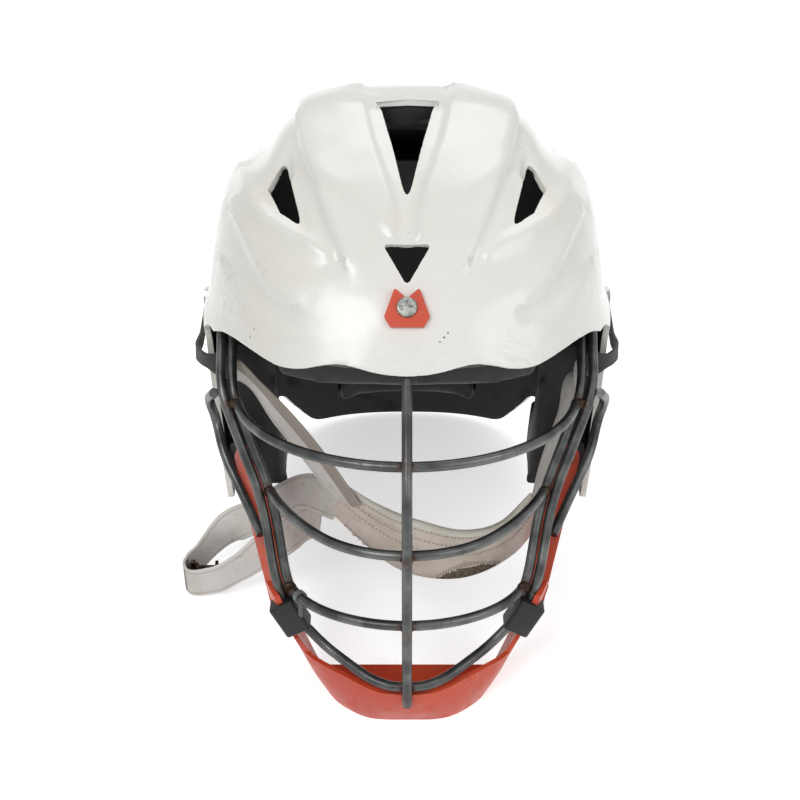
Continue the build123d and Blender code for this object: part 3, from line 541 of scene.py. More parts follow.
def new_material(name):
    """A material with its tree, its shader and its Object coordinates."""
    made = bpy.data.materials.new(name)
    made.use_nodes = True
    tree = made.node_tree
    shader = tree.nodes["Principled BSDF"]
    where = add_node(tree, "ShaderNodeTexCoord").outputs["Object"]
    return made, tree, shader, where


def plug(tree, shader, **values):
    """Sets or links inputs of a shader, named with underscores for spaces."""
    for key, value in values.items():
        socket = shader.inputs[key.replace("_", " ")]
        if isinstance(value, bpy.types.NodeSocket):
            tree.links.new(value, socket)
        else:
            socket.default_value = value


def bump(tree, height, distance, normal=None):
    """A bump from a height, in metres at a height of 1."""
    made = add_node(tree, "ShaderNodeBump", {"Height": height, "Distance": distance, "Strength": 1.0})
    if normal is not None:
        tree.links.new(normal, made.inputs["Normal"])
    return made.outputs["Normal"]


# Materials
def glossy_shell_paint(wear):
    """Glossy white moulded polycarbonate: slightly yellowed, with rub marks, fine scratches and specks."""
    made, tree, shader, where = new_material("White polycarbonate shell")
    aged = mask(tree, noise(tree, where, 9.0, 4.0), 0.42, 0.68)
    colour = mixed(tree, aged, linear("#F1F0EC"), linear("#E9E7DF"))
    patches = mask(tree, noise(tree, where, 26.0, 5.0, 0.65), 0.56, 0.74)
    grain = mask(tree, noise(tree, where, 620.0, 2.0), 0.63, 0.70)
    specks = product(tree, product(tree, grain, patches), 0.55 * wear)
    colour = mixed(tree, specks, colour, linear("#8F8D86"))
    scratch = thin_lines(tree, where, (40.0, 320.0, 90.0), 0.002, 0.012)
    rubbed = product(tree, scratch, mask(tree, noise(tree, where, 17.0, 4.0), 0.55, 0.72))
    colour = mixed(tree, product(tree, rubbed, 0.35 * wear), colour, linear("#A9A69D"))
    spots = near_points(tree, where, [(at(*place), size * MM) for place, size in SPECKS])
    colour = mixed(tree, product(tree, spots, wear), colour, linear("#57544E"))
    rough = mask(tree, noise(tree, where, 35.0, 5.0), 0.4, 0.75, 0.20, 0.38)
    dents = bump(tree, noise(tree, where, 55.0, 2.0), 0.0006)
    plug(tree, shader, Base_Color=colour, Roughness=rough, IOR=1.5, Coat_Weight=0.25, Coat_Roughness=0.12,
         Normal=bump(tree, math_node(tree, "ADD", rubbed, specks), -0.00008, normal=dents))
    return made


def shell_inside():
    """The inside face of the shell: dull dark film over the plastic, with dust."""
    made, tree, shader, where = new_material("Dark film inside shell")
    dust = mask(tree, noise(tree, where, 60.0, 5.0), 0.5, 0.75)
    colour = mixed(tree, dust, linear("#191A1B"), linear("#2B2B2A"))
    plug(tree, shader, Base_Color=colour, Roughness=mask(tree, dust, 0.0, 1.0, 0.55, 0.8),
         Normal=bump(tree, noise(tree, where, 400.0), 0.0002))
    return made


def orange_plastic(wear):
    """Moulded orange nylon: semi-gloss, paler rubbed places and short scratches."""
    made, tree, shader, where = new_material("Orange nylon")
    tone = mask(tree, noise(tree, where, 18.0, 4.0), 0.35, 0.7)
    colour = mixed(tree, tone, linear("#CB4428"), linear("#D65130"))
    scratch = thin_lines(tree, where, (60.0, 260.0, 150.0), 0.003, 0.014)
    worn = product(tree, scratch, mask(tree, noise(tree, where, 45.0, 4.0), 0.5, 0.7))
    colour = mixed(tree, product(tree, worn, 0.6 * wear), colour, linear("#E58C70"))
    dirt = mask(tree, noise(tree, where, 90.0, 5.0), 0.6, 0.75, 0.0, 0.35)
    colour = mixed(tree, dirt, colour, linear("#7E2C1D"))
    rough = mask(tree, noise(tree, where, 120.0, 4.0), 0.35, 0.7, 0.30, 0.48)
    plug(tree, shader, Base_Color=colour, Roughness=rough,
         Normal=bump(tree, math_node(tree, "SUBTRACT", noise(tree, where, 900.0, 2.0), worn), 0.00006))
    return made


def cage_steel(rust, welds):
    """Zinc plated steel wire: dull grey, streaked along the wire, with rust at the welds and in pits."""
    made, tree, shader, where = new_material("Zinc plated steel wire")
    tone = mask(tree, noise(tree, where, 70.0, 5.0), 0.35, 0.68)
    colour = mixed(tree, tone, linear("#484A4A"), linear("#6C6E6D"))
    smears = mask(tree, noise(tree, where, 260.0, 4.0, 0.7), 0.55, 0.72)
    colour = mixed(tree, product(tree, smears, 0.5), colour, linear("#4E504D"))
    ragged = mask(tree, noise(tree, where, 420.0, 4.0, 0.7), 0.38, 0.62)
    stained = product(tree, near_points(tree, where, [(place, 7.5 * MM) for place in welds]), ragged)
    pits = mask(tree, noise(tree, where, 340.0, 3.0), 0.68, 0.74)
    sparse = mask(tree, noise(tree, where, 21.0, 2.0), 0.52, 0.66)
    rusty = product(tree, math_node(tree, "MAXIMUM", stained, product(tree, pits, sparse)), rust)
    brown = mixed(tree, mask(tree, noise(tree, where, 900.0), 0.4, 0.6), linear("#3E1F12"), linear("#653A22"))
    colour = mixed(tree, rusty, colour, brown)
    rough = math_node(tree, "ADD", mask(tree, smears, 0.0, 1.0, 0.34, 0.5), product(tree, rusty, 0.35))
    plug(tree, shader, Base_Color=colour, Metallic=mask(tree, rusty, 0.0, 1.0, 0.85, 0.05), Roughness=rough,
         Normal=bump(tree, math_node(tree, "ADD", noise(tree, where, 700.0), rusty), 0.00012))
    return made


def plain_metal(name, dark, pale, rough, rust=0.0):
    """A small steel part: mottled plating with fine pits."""
    made, tree, shader, where = new_material(name)
    tone = mask(tree, noise(tree, where, 380.0, 5.0, 0.65), 0.38, 0.64)
    colour = mixed(tree, tone, linear(dark), linear(pale))
    pits = product(tree, mask(tree, noise(tree, where, 800.0, 3.0), 0.6, 0.7), rust)
    colour = mixed(tree, pits, colour, linear("#5B3520"))
    plug(tree, shader, Base_Color=colour, Metallic=mask(tree, pits, 0.0, 1.0, 0.95, 0.2),
         Roughness=mask(tree, tone, 0.0, 1.0, rough + 0.12, rough),
         Normal=bump(tree, noise(tree, where, 1300.0), 0.00005))
    return made


def black_moulding(name, dark, pale, rough, grain):
    """Black rubber or nylon: nearly even, with a fine grain and dust on it."""
    made, tree, shader, where = new_material(name)
    dust = mask(tree, noise(tree, where, 150.0, 5.0, 0.6), 0.5, 0.74)
    colour = mixed(tree, dust, linear(dark), linear(pale))
    plug(tree, shader, Base_Color=colour, Roughness=mask(tree, dust, 0.0, 1.0, rough, rough + 0.15),
         Normal=bump(tree, noise(tree, where, 1500.0, 2.0), grain))
    return made


def foam_skin():
    """Black vinyl-skinned foam: soft sheen, fine pores and faint creases."""
    made, tree, shader, where = new_material("Black foam skin")
    worn = mask(tree, noise(tree, where, 40.0, 5.0), 0.48, 0.72)
    colour = mixed(tree, worn, linear("#121212"), linear("#201F1D"))
    pores = noise(tree, where, 1600.0, 2.0)
    creases = noise(tree, stretched(tree, where, (60.0, 60.0, 22.0)), 1.0, 4.0)
    plug(tree, shader, Base_Color=colour, Roughness=mask(tree, worn, 0.0, 1.0, 0.52, 0.7), Sheen_Weight=0.15,
         Sheen_Roughness=0.5, Normal=bump(tree, pores, 0.00012, normal=bump(tree, creases, 0.0012)))
    return made


def webbing(name, tab=0.0, lining=0.0):
    """Woven nylon webbing: off-white, beige with use, twill ribs from the band's own measure, grey selvedges.

    The first part, as long as the tab, is painted dark grey as shade. The lining is the width of a beige band
    along one edge.
    """
    made, tree, shader, where = new_material(name)
    flat = add_node(tree, "ShaderNodeUVMap", uv_map="band").outputs["UV"]
    split = add_node(tree, "ShaderNodeSeparateXYZ", {"Vector": flat})
    along, across = split.outputs["X"], split.outputs["Y"]
    ribs = math_node(tree, "SINE", product(tree, math_node(tree, "ADD", along, across), 5200.0))
    threads = math_node(tree, "SINE", product(tree, across, 9000.0))
    weave = product(tree, math_node(tree, "ADD", ribs, threads), 0.25)
    edge = math_node(tree, "ABSOLUTE", across)
    used = mask(tree, noise(tree, where, 30.0, 5.0), 0.38, 0.7)
    colour = mixed(tree, used, linear("#EFEDE8"), linear("#DDD7CF"))
    if lining:
        edge_of_lining = WEB_WIDTH / 2 * MM - lining
        side = mask(tree, across, edge_of_lining - 0.0003, edge_of_lining + 0.0003)
        colour = mixed(tree, side, colour, linear("#A89E93"))
    from_seam = math_node(tree, "ABSOLUTE", math_node(tree, "SUBTRACT", edge, 0.0078))
    seam = mask(tree, from_seam, 0.0003, 0.0007, 1.0, 0.0)
    colour = mixed(tree, product(tree, seam, 0.4), colour, linear("#A79F96"))
    grime = mask(tree, noise(tree, where, 130.0, 5.0, 0.65), 0.56, 0.76, 0.0, 0.5)
    colour = mixed(tree, grime, colour, linear("#A39689"))
    if tab:
        # Painted shade: dark grey over the tab's length at the hook, where the strap lies in shadow
        colour = mixed(tree, mask(tree, along, tab - 0.001, tab + 0.001, 1.0, 0.0), colour, linear("#3A3A38"))
    plug(tree, shader, Base_Color=colour, Roughness=0.72, Sheen_Weight=0.2, Sheen_Roughness=0.4,
         Normal=bump(tree, weave, 0.00022))
    return made


def cup_vinyl(name, clean, dull, wrinkle):
    """Thin vinyl over foam: warm off-white, wrinkled, with random patches of grime."""
    made, tree, shader, where = new_material(name)
    colour = mixed(tree, mask(tree, noise(tree, where, 45.0, 5.0), 0.36, 0.68), linear(clean), linear(dull))
    grime = mask(tree, noise(tree, where, 210.0, 5.0, 0.7), 0.56, 0.74, 0.0, 0.45)
    colour = mixed(tree, grime, colour, linear("#9A8A7C"))
    folds = noise(tree, stretched(tree, where, (160.0, 60.0, 60.0)), 1.0, 4.0, 0.6)
    plug(tree, shader, Base_Color=colour, Roughness=mask(tree, grime, 0.0, 0.45, 0.45, 0.7),
         Normal=bump(tree, noise(tree, where, 1400.0, 2.0), 0.00006, normal=bump(tree, folds, wrinkle)))
    return made


def cup_mesh():
    """Brown air mesh: a net of small round holes."""
    made, tree, shader, where = new_material("Brown air mesh")
    cells = add_node(tree, "ShaderNodeTexVoronoi", {"Vector": where, "Scale": 900.0}).outputs["Distance"]
    holes = mask(tree, cells, 0.25, 0.45, 1.0, 0.0)
    colour = mixed(tree, holes, linear("#6E6250"), linear("#2C261E"))
    plug(tree, shader, Base_Color=colour, Roughness=0.85, Normal=bump(tree, holes, -0.0004))
    return made


def thread(name, code):
    """Twisted sewing thread: one colour with a lighter twist."""
    made, tree, shader, where = new_material(name)
    twist = mask(tree, noise(tree, where, 2500.0, 2.0), 0.4, 0.6)
    colour = mixed(tree, twist, linear(code), mixed(tree, 0.3, linear(code), linear("#FFFFFF")))
    plug(tree, shader, Base_Color=colour, Roughness=0.8, Sheen_Weight=0.2)
    return made


# Shell
def plan_ring():
    """Shares of half width and of reach round the plan outline, closer together at the front."""
    angles = np.linspace(0, math.pi / 2, 4000)
    quarter = np.stack([np.cos(angles) ** PLAN_POWER, np.sin(angles) ** PLAN_POWER], axis=1)
    length = np.concatenate([[0], np.cumsum(np.linalg.norm(np.diff(quarter * (1, 1.15), axis=0), axis=1))])
    length /= length[-1]

    def spaced(count):
        places = np.linspace(0, 1, count, endpoint=False)
        return np.stack([np.interp(places, length, quarter[:, column]) for column in (0, 1)], axis=1)

    front, rear = spaced(96), spaced(42)
    return np.concatenate([
        rear,
        reversed_quarter(rear) * (-1, 1),
        front * (-1, -1),
        reversed_quarter(front) * (1, -1),
    ])


def reversed_quarter(quarter):
    """A quarter of the plan outline run from its front end, without the side end."""
    return np.concatenate([quarter[1:], [(0.0, 1.0)]])[::-1]


def shell_grid():
    """Points of the shell's outer surface on the helmet axes in mm, in rows from the skirt to the crown."""
    rows = [(share * SKIRT_DROP, half, front, back) for share, half, front, back in SKIRT_SHARES]
    rows += [(share * CROWN_RISE, half, front, back) for share, half, front, back in CROWN_SHARES]
    sized = [(level, half * HALF_WIDTH, front * FRONT_REACH, back * BACK_REACH)
             for level, half, front, back in rows]
    skirt = smooth_rows(sized[:3], 40)
    crown = smooth_rows(sized[2:], 96)
    levels = np.concatenate([skirt[:-1], crown])
    ring = plan_ring()
    grid = np.zeros((len(levels), len(ring), 3))
    for number, (level, half, front, back) in enumerate(levels):
        reach = np.where(ring[:, 1] > 0, back, front)
        grid[number] = np.stack([ring[:, 0] * half, ring[:, 1] * reach, np.full(len(ring), level)], axis=1)
    middle = np.array([0.0, grid[-1, :, 1].mean(), CROWN_RISE])
    caps = []
    for share in CAP_RINGS:
        cap = middle + (grid[-1] - middle) * share
        cap[:, 2] += CAP_DOME * (1 - share ** 2)
        caps.append(cap)
    return np.concatenate([grid, caps])


def grid_normals(grid):
    """Outward normals of a grid that is closed round its rows."""
    around = np.roll(grid, -1, axis=1) - np.roll(grid, 1, axis=1)
    up = np.gradient(grid, axis=0)
    normals = np.cross(around, up)
    normals /= np.linalg.norm(normals, axis=2, keepdims=True) + 1e-9
    return normals


def capped_normals(grid):
    """Outward normals of a shell grid, upright over its crown."""
    normals = grid_normals(grid)
    normals[-len(CAP_RINGS) - 3:] = (0, 0, 1)
    return normals


def seat_on_frame(grid, normals):
    """The grid moved along its normals to the outer surface of the CAD shell, smoothly across its holes."""
    tree = BVHTree.FromObject(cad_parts["shell"], bpy.context.evaluated_depsgraph_get())
    places = on_head(grid)
    tips = on_head(grid + normals)
    shift = np.full(grid.shape[:2], np.nan)
    for index in np.ndindex(shift.shape):
        outward = Vector(tips[index] - places[index]).normalized()
        start = Vector(places[index]) + outward * 6 * MM
        hit, face, number, away = tree.ray_cast(start, -outward, 11 * MM)
        if hit is not None and face.dot(outward) > 0.6:
            shift[index] = 6 - away / MM
    for attempt in range(200):
        empty = np.isnan(shift)
        if not empty.any():
            break
        around = np.stack([
            np.roll(shift, 1, axis=1), np.roll(shift, -1, axis=1),
            np.vstack([shift[:1], shift[:-1]]), np.vstack([shift[1:], shift[-1:]]),
        ])
        known = ~np.isnan(around)
        total = np.where(known, around, 0).sum(axis=0)
        count = known.sum(axis=0)
        filled = empty & (count > 0)
        shift[filled] = (total[filled] / count[filled]) * 0.97
    shift = np.nan_to_num(shift)
    for attempt in range(3):
        shift = (shift * 2 + np.roll(shift, 1, axis=1) + np.roll(shift, -1, axis=1)) / 4
        shift[1:-1] = (shift[1:-1] * 2 + shift[:-2] + shift[2:]) / 4
    return grid + normals * shift[..., None]


def from_line(points, normals, line):
    """Signed distance of points from a line on the surface, and how far they are beyond its ends."""
    line = np.array(line, float)
    best = np.full(len(points), 1e9)
    signed = np.zeros(len(points))
    beyond = np.zeros(len(points))
    for first, last in zip(line, line[1:]):
        run = last - first
        size = np.linalg.norm(run)
        along = run / size
        place = (points - first) @ along
        clamped = np.clip(place, 0, size)
        away = points - (first + clamped[:, None] * along)
        distance = np.linalg.norm(away, axis=1)
        side = np.einsum("ij,ij->i", away, np.cross(normals, along))
        closer = distance < best
        best[closer] = distance[closer]
        signed[closer] = np.where(side >= 0, distance, -distance)[closer]
        beyond[closer] = np.abs(place - clamped)[closer]
    start_gap = (points - line[0]) @ (line[1] - line[0])
    end_gap = (points - line[-1]) @ (line[-1] - line[-2])
    outside = (start_gap < 0) & (np.linalg.norm(points - line[0], axis=1) <= best + 0.01)
    outside |= (end_gap > 0) & (np.linalg.norm(points - line[-1], axis=1) <= best + 0.01)
    return signed, np.where(outside, beyond, 0.0)


def from_outline(points, outline):
    """Distance in plan of points from the edge of an outline, on the left half."""
    corners = np.array(outline, float)
    corners[:, 0] = -np.abs(corners[:, 0])
    flat = points[:, :2]
    best = np.full(len(points), 1e9)
    for first, last in zip(corners, np.roll(corners, -1, axis=0)):
        run = last - first
        size = np.linalg.norm(run)
        if size < 1e-6:
            continue
        place = np.clip((flat - first) @ run / size ** 2, 0, 1)
        best = np.minimum(best, np.linalg.norm(flat - first - place[:, None] * run, axis=1))
    return best


def relief(grid, normals):
    """Height of the moulded relief over the smooth shell, in mm."""
    shape = grid.shape[:2]
    points = grid.reshape(-1, 3).copy()
    faces = normals.reshape(-1, 3).copy()
    flipped = points[:, 0] > 0
    points[flipped, 0] *= -1
    faces[flipped, 0] *= -1
    height = np.zeros(len(points))
    for kind, amount, reach, line in RELIEF:
        signed, beyond = from_line(points, faces, line)
        fade = np.exp(-(beyond / END_FADE) ** 2)
        if kind == "step":
            profile = 0.5 * np.tanh(signed / STEP_WIDTH) * np.exp(-(signed / reach) ** 2)
        else:
            profile = np.exp(-(signed / reach) ** 2)
        height += amount * profile * fade
    above = points[:, 2] > 0
    strip = np.array(SUNK_STRIP)
    half = np.interp(points[:, 1], strip[:, 0], strip[:, 1])
    ends = np.maximum(np.maximum(strip[0, 0] - points[:, 1], points[:, 1] - strip[-1, 0]), 0)
    sunk = 0.5 * (1 + np.tanh((half + points[:, 0]) / STEP_WIDTH)) * np.exp(-(ends / END_FADE) ** 2)
    height -= np.where(above, SUNK_DEPTH * sunk, 0)
    for outline, (depth, width) in ((SIDE_VENT, SIDE_RIM), (TOP_VENT, TOP_RIM)):
        height -= np.where(above, depth * np.exp(-(from_outline(points, outline) / width) ** 2), 0)
    return height.reshape(shape)


def tilted_axes(place, tilt):
    """Axes at a place at the front of the shell whose outward direction is raised by a tilt."""
    return place, (1, 0, 0), (0, math.sin(tilt), math.cos(tilt)), (0, -math.cos(tilt), math.sin(tilt))


def shell_cutters():
    """Closed prisms for the lower edge, the vents and the holes of the shell, as one object."""
    side_axes = ((0, 0, 0), (0, 1, 0), (0, 0, 1), (1, 0, 0))
    top_axes = ((0, 0, 0), (1, 0, 0), (0, 1, 0), (0, 0, 1))
    rear_axes = ((0, 0, 0), (1, 0, 0), (0, 0, 1), (0, 1, 0))
    plan = (*top_axes, 40, 250)
    rear = (*rear_axes, 60, 300)
    cutters = [
        prism("cut", rounded(LOWER_EDGE, 0), *side_axes, -300, 300),
        prism("cut", rounded(TOP_VENT, 3.0), *plan),
        prism("cut", rounded(FRONT_VENT, 2.0), *tilted_axes(FRONT_VENT_PLACE, FRONT_VENT_TILT), -12, 30),
        prism("cut", circle(*FIT_BUTTON_HOLE), *rear),
    ]
    for side, _ in SIDES:
        ends = (*side_axes, side * 55, side * 300)
        cutters += [
            prism("cut", rounded([(side * x, y) for x, y in SIDE_VENT], 3.0), *plan),
            prism("cut", slot_outline(side * SHOULDER_SLOT[0], *SHOULDER_SLOT[1:]), *plan),
            prism("cut", slot_outline(side * REAR_SLOT[0], *REAR_SLOT[1:]), *rear),
            prism("cut", circle(side * FIT_SCREW_HOLE[0], *FIT_SCREW_HOLE[1:]), *rear),
            prism("cut", slot_outline(*EAR_SLOT), *ends),
            prism("cut", circle(*TEMPLE_STUD_HOLE), *ends),
            prism("cut", circle(*ANCHOR_HOLE), *ends),
        ]
    cutters.append(prism("cut", circle(*BADGE_HOLE), *tilted_axes(BADGE_PLACE, BADGE_TILT), -12, 12))
    return joined(cutters, "shell_cutters")


def circle(across, up, radius, count=32):
    """Points round a circle."""
    turns = [2 * math.pi * step / count for step in range(count)]
    return [(across + radius * math.cos(turn), up + radius * math.sin(turn)) for turn in turns]


def slot_outline(across, up, width, length, count=12):
    """Points round an upright slot with round ends."""
    radius = width / 2
    middle = length / 2 - radius
    turns = [math.pi * step / count for step in range(count + 1)]
    top = [(across + radius * math.cos(turn), up + middle + radius * math.sin(turn)) for turn in turns]
    return top + [(2 * across - x, 2 * up - y) for x, y in top]


def lip_cutter():
    """A closed prism below the edge of the visor lip."""
    half = smooth_rows([(across, rise, 0.0) for across, rise in LIP_EDGE], 80)[:, :2]
    outline = [(-across, rise) for across, rise in half[::-1]] + [(across, rise) for across, rise in half[1:]]
    outer = LIP_EDGE[-1][0]
    outline += [(outer, LIP_LEVEL - 40), (-outer, LIP_LEVEL - 40)]
    return prism("lip_cutter", outline, (0, 0, 0), (1, 0, 0), (0, 0, 1), (0, 1, 0), -300, -58)


def cut_away(obj, cutter, wall):
    """Cuts a cutter out of obj. The faces that the cutter leaves get the wall material."""
    cutter.data.materials.clear()
    cutter.data.materials.append(wall)
    apply_modifier(obj, "BOOLEAN", operation="DIFFERENCE", object=cutter, solver="EXACT",
                   material_mode="TRANSFER")
    bpy.data.objects.remove(cutter, do_unlink=True)


def thicken(mesh, wall, points, faces, directions):
    """Gives an open skin an inner face of the second material, set in along the uncut skin's directions."""
    uncut = BVHTree.FromPolygons(points, faces)
    skin = list(mesh.faces)
    inner = {}
    for vertex in list(mesh.verts):
        nearest = uncut.find_nearest(vertex.co)[2]
        outward = sum((directions[corner] for corner in faces[nearest]), Vector()).normalized()
        inner[vertex] = vertex.co - outward * wall
    inner = {vertex: mesh.verts.new(place) for vertex, place in inner.items()}
    loops = [edge.link_loops[0] for edge in mesh.edges if edge.is_boundary]
    rims = [(loop.vert, loop.link_loop_next.vert) for loop in loops]
    for face in skin:
        mesh.faces.new([inner[vertex] for vertex in reversed(face.verts)]).material_index = 1
    for start, end in rims:
        mesh.faces.new([end, start, inner[start], inner[end]])


def build_shell(settings):
    """The shell with its moulded relief, cut to its edges and vents and thickened inwards."""
    grid = shell_grid()
    grid = seat_on_frame(grid, grid_normals(grid))
    normals = capped_normals(grid)
    grid = grid + normals * (relief(grid, normals) * settings.relief)[..., None]
    rows, columns = grid.shape[:2]
    points = on_head(grid).reshape(-1, 3).tolist()
    faces = grid_faces(rows, columns)
    points.append(tuple(on_head(grid[-1].mean(axis=0))))
    last = (rows - 1) * columns
    faces += [(last + column, last + (column + 1) % columns, rows * columns) for column in range(columns)]
    faces.append(tuple(range(columns - 1, -1, -1)))
    paint = glossy_shell_paint(settings.wear)
    shell = make_object("shell_skin", points, faces, [paint, shell_inside()])
    face_outwards(shell)
    wall = bpy.data.materials.new("cut wall")
    shell.data.polygons[len(faces) - 1].material_index = 1
    cut_away(shell, shell_cutters(), wall)
    cut_away(shell, lip_cutter(), wall)
    mesh = bmesh.new()
    mesh.from_mesh(shell.data)
    bmesh.ops.delete(mesh, geom=[face for face in mesh.faces if face.material_index > 0], context="FACES")
    many_sided = [face for face in mesh.faces if len(face.verts) > 4]
    bmesh.ops.triangulate(mesh, faces=many_sided, quad_method="BEAUTY", ngon_method="BEAUTY")
    bmesh.ops.dissolve_degenerate(mesh, dist=0.35 * MM, edges=mesh.edges)
    directions = [turned(*normal) for normal in capped_normals(grid).reshape(-1, 3)] + [turned(0, 0, 1)]
    thicken(mesh, WALL * MM, points, faces[:-1], directions)
    mesh.to_mesh(shell.data)
    mesh.free()
    while len(shell.data.materials) > 2:
        shell.data.materials.pop()
    bpy.data.materials.remove(wall)
    apply_modifier(shell, "BEVEL", width=0.7 * MM, segments=2, limit_method="ANGLE",
                   angle_limit=math.radians(50))
    smooth_shading(shell, 38)
    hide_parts("shell")
    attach(shell, ROOT)


# Pads
def puff(obj, limit):
    """Puffs a closed mesh as a stuffed piece, with its movement capped at a limit in mm."""
    rest = np.array([tuple(v.co) for v in obj.data.vertices])
    modifier = obj.modifiers.new("Cloth", "CLOTH")
    cloth = modifier.settings
    cloth.quality = 5
    cloth.mass = 0.3
    cloth.tension_stiffness = 15
    cloth.compression_stiffness = 15
    cloth.bending_stiffness = 0.5
    cloth.use_pressure = True
    cloth.uniform_pressure_force = 4
    cloth.effector_weights.gravity = 0
    modifier.point_cache.frame_start = 1
    modifier.point_cache.frame_end = PUFF_FRAMES
    scene = bpy.context.scene
    for number in range(1, PUFF_FRAMES + 1):
        scene.frame_set(number)
    activate(obj)
    bpy.ops.object.modifier_apply(modifier=modifier.name)
    scene.frame_set(1)
    moved = np.array([tuple(v.co) for v in obj.data.vertices])
    change = moved - rest
    size = np.linalg.norm(change, axis=1, keepdims=True)
    change *= np.minimum(1, limit * MM / np.maximum(size, 1e-9))
    obj.data.vertices.foreach_set("co", (rest + change).ravel())
    obj.data.update()


def cad_copy(node, name, material):
    """A free copy of a CAD node's mesh with its loose corners merged."""
    made = bpy.data.objects.new(name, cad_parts[node].data.copy())
    bpy.context.scene.collection.objects.link(made)
    made.data.materials.clear()
    made.data.materials.append(material)
    mesh = bmesh.new()
    mesh.from_mesh(made.data)
    bmesh.ops.remove_doubles(mesh, verts=mesh.verts, dist=0.01 * MM)
    mesh.to_mesh(made.data)
    mesh.free()
    return made


def build_pads(settings):
    """Foam pads with soft edges."""
    skin = foam_skin()
    for node, (voxel, limit) in PADS.items():
        pad = cad_copy(node, f"{node}_foam", skin)
        apply_modifier(pad, "REMESH", mode="VOXEL", voxel_size=voxel * MM, use_smooth_shade=True)
        apply_modifier(pad, "SMOOTH", factor=0.5, iterations=2)
        puff(pad, limit)
        apply_modifier(pad, "SUBSURF", levels=1)
        activate(pad)
        bpy.ops.object.shade_smooth()
        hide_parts(node)
        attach(pad, "fit_yoke" if node == "yoke_pad" else ROOT)


# Bands and stitches
def band_path(stations, on_flat=False):
    """Centres and width directions in metres along a band, 1.5 mm apart."""
    rows = []
    for place, aim in stations:
        if on_flat:
            centre, width = Vector(place) * MM, Vector(aim).normalized()
        else:
            centre, width = at(*place), turned(*aim)
        rows.append((*(centre / MM), *width))
    length = sum((Vector(b[:3]) - Vector(a[:3])).length for a, b in zip(rows, rows[1:]))
    path = smooth_rows(rows, max(int(length / 1.5), 8))
    centres = path[:, :3] * MM
    along = np.gradient(centres, axis=0)
    along /= np.linalg.norm(along, axis=1, keepdims=True)
    widths = path[:, 3:]
    widths = widths - along * np.sum(widths * along, axis=1, keepdims=True)
    widths /= np.linalg.norm(widths, axis=1, keepdims=True)
    return centres, widths, along


def build_band(name, stations, material, on_flat=False, tab=0.0):
    """A woven band along stations, a little thicker at its two edges and narrow along its tab."""
    centres, widths, along = band_path(stations, on_flat)
    run = np.concatenate([[0], np.cumsum(np.linalg.norm(np.diff(centres, axis=0), axis=1))])
    if tab:
        narrow = np.clip((run - tab + TAB_TAPER) / TAB_TAPER, 0, 1)
        widths = widths * (TAB_SHARE + (1 - TAB_SHARE) * narrow ** 2 * (3 - 2 * narrow))[:, None]
    faces_out = np.cross(widths, along)
    faces_out /= np.linalg.norm(faces_out, axis=1, keepdims=True)
    half = WEB_WIDTH / 2 * MM
    thick = WEB_THICKNESS / 2 * MM
    ring = WEB_SECTION + [(share, -lift) for share, lift in WEB_SECTION[::-1]]
    count = len(ring)
    vertices = []
    for centre, width, out in zip(centres, widths, faces_out):
        vertices += [centre + width * half * share + out * thick * lift for share, lift in ring]
    faces = grid_faces(len(centres), count) + end_faces(len(centres), count)
    made = make_object(name, vertices, faces, [material])
    layer = made.data.uv_layers.new(name="band")
    for face in made.data.polygons:
        for loop in face.loop_indices:
            vertex = made.data.loops[loop].vertex_index
            layer.data[loop].uv = (run[vertex // count], ring[vertex % count][0] * half)
    smooth_shading(made, 50)
    return made


def capsule(start, end, radius, sides=6):
    """Vertices and faces of a thread stitch between two points."""
    start, end = Vector(start), Vector(end)
    run = end - start
    turn = run.to_track_quat("Z", "Y").to_matrix()
    vertices = []
    stages = [(0.0, 0.0), (0.06, 0.7), (0.25, 1.0), (0.75, 1.0), (0.94, 0.7), (1.0, 0.0)]
    for share, size in stages:
        for step in range(sides):
            angle = 2 * math.pi * step / sides
            offset = Vector((math.cos(angle), math.sin(angle), 0)) * radius * max(size, 0.15)
            vertices.append(start + run * share + turn @ offset)
    return vertices, grid_faces(len(stages), sides)


def build_stitches(name, runs, radius, material):
    """Many short threads, each from one point to another in metres, as one object."""
    vertices, faces = [], []
    for start, end in runs:
        more, sides = capsule(start, end, radius * MM)
        faces += [tuple(len(vertices) + i for i in face) for face in sides]
        vertices += more
    return make_object(name, vertices, faces, [material])


def build_straps(settings):
    """The four chin straps, with stitches across the fold of the unhooked strap."""
    cloth = webbing("Off-white nylon webbing")
    # Both upper straps carry painted shade: dark grey along the tab at the hook
    upper = {
        "left": webbing("Lined nylon webbing with painted shade on tab", tab=TAB_LENGTH, lining=LINING_WIDTH),
        "right": webbing("Nylon webbing with painted shade on tab", tab=TAB_LENGTH),
    }
    sewn = thread("Dark sewing thread", "#3B3733")
    for side, name in SIDES:
        stations = [((side * p[0], p[1], p[2]), (side * a[0], a[1], a[2]))
                    for p, a in [HOOK_END] + TEMPLE_STATIONS + UPPER_STATIONS[name]]
        strap = build_band(f"upper_web_{name}", stations, upper[name], tab=TAB_LENGTH)
        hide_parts(f"upper_strap_{name}")
        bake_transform(strap)
    lower = build_band("lower_web_right", LOWER_STATIONS, cloth)
    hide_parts("lower_strap_right")
    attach(lower, ROOT)
    loose = build_band("lower_web_left", LOOSE_STATIONS, cloth, on_flat=True)
    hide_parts("lower_strap_left")
    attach(loose, ROOT)
    centres, widths, along = band_path(LOOSE_STATIONS, True)
    out = np.cross(widths, along)
    runs = []
    fold = int(np.argmin(centres[:, 0]))
    rise = FOLD_SHARE * WEB_WIDTH / FOLD_STITCHES * MM
    for row in (fold + offset for offset in FOLD_ROWS):
        for step in range(FOLD_STITCHES):
            height = step * rise - FOLD_SHARE * WEB_WIDTH / 2 * MM
            for face in (-1, 1):
                base = centres[row] + out[row] * face * WEB_THICKNESS / 2 * MM
                slant = along[row] * FOLD_SLANT * MM
                runs.append((base + widths[row] * height, base + widths[row] * (height + rise) + slant))
    threads = build_stitches("loose_end_stitches", runs, FOLD_THREAD, sewn)
    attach(threads, ROOT)


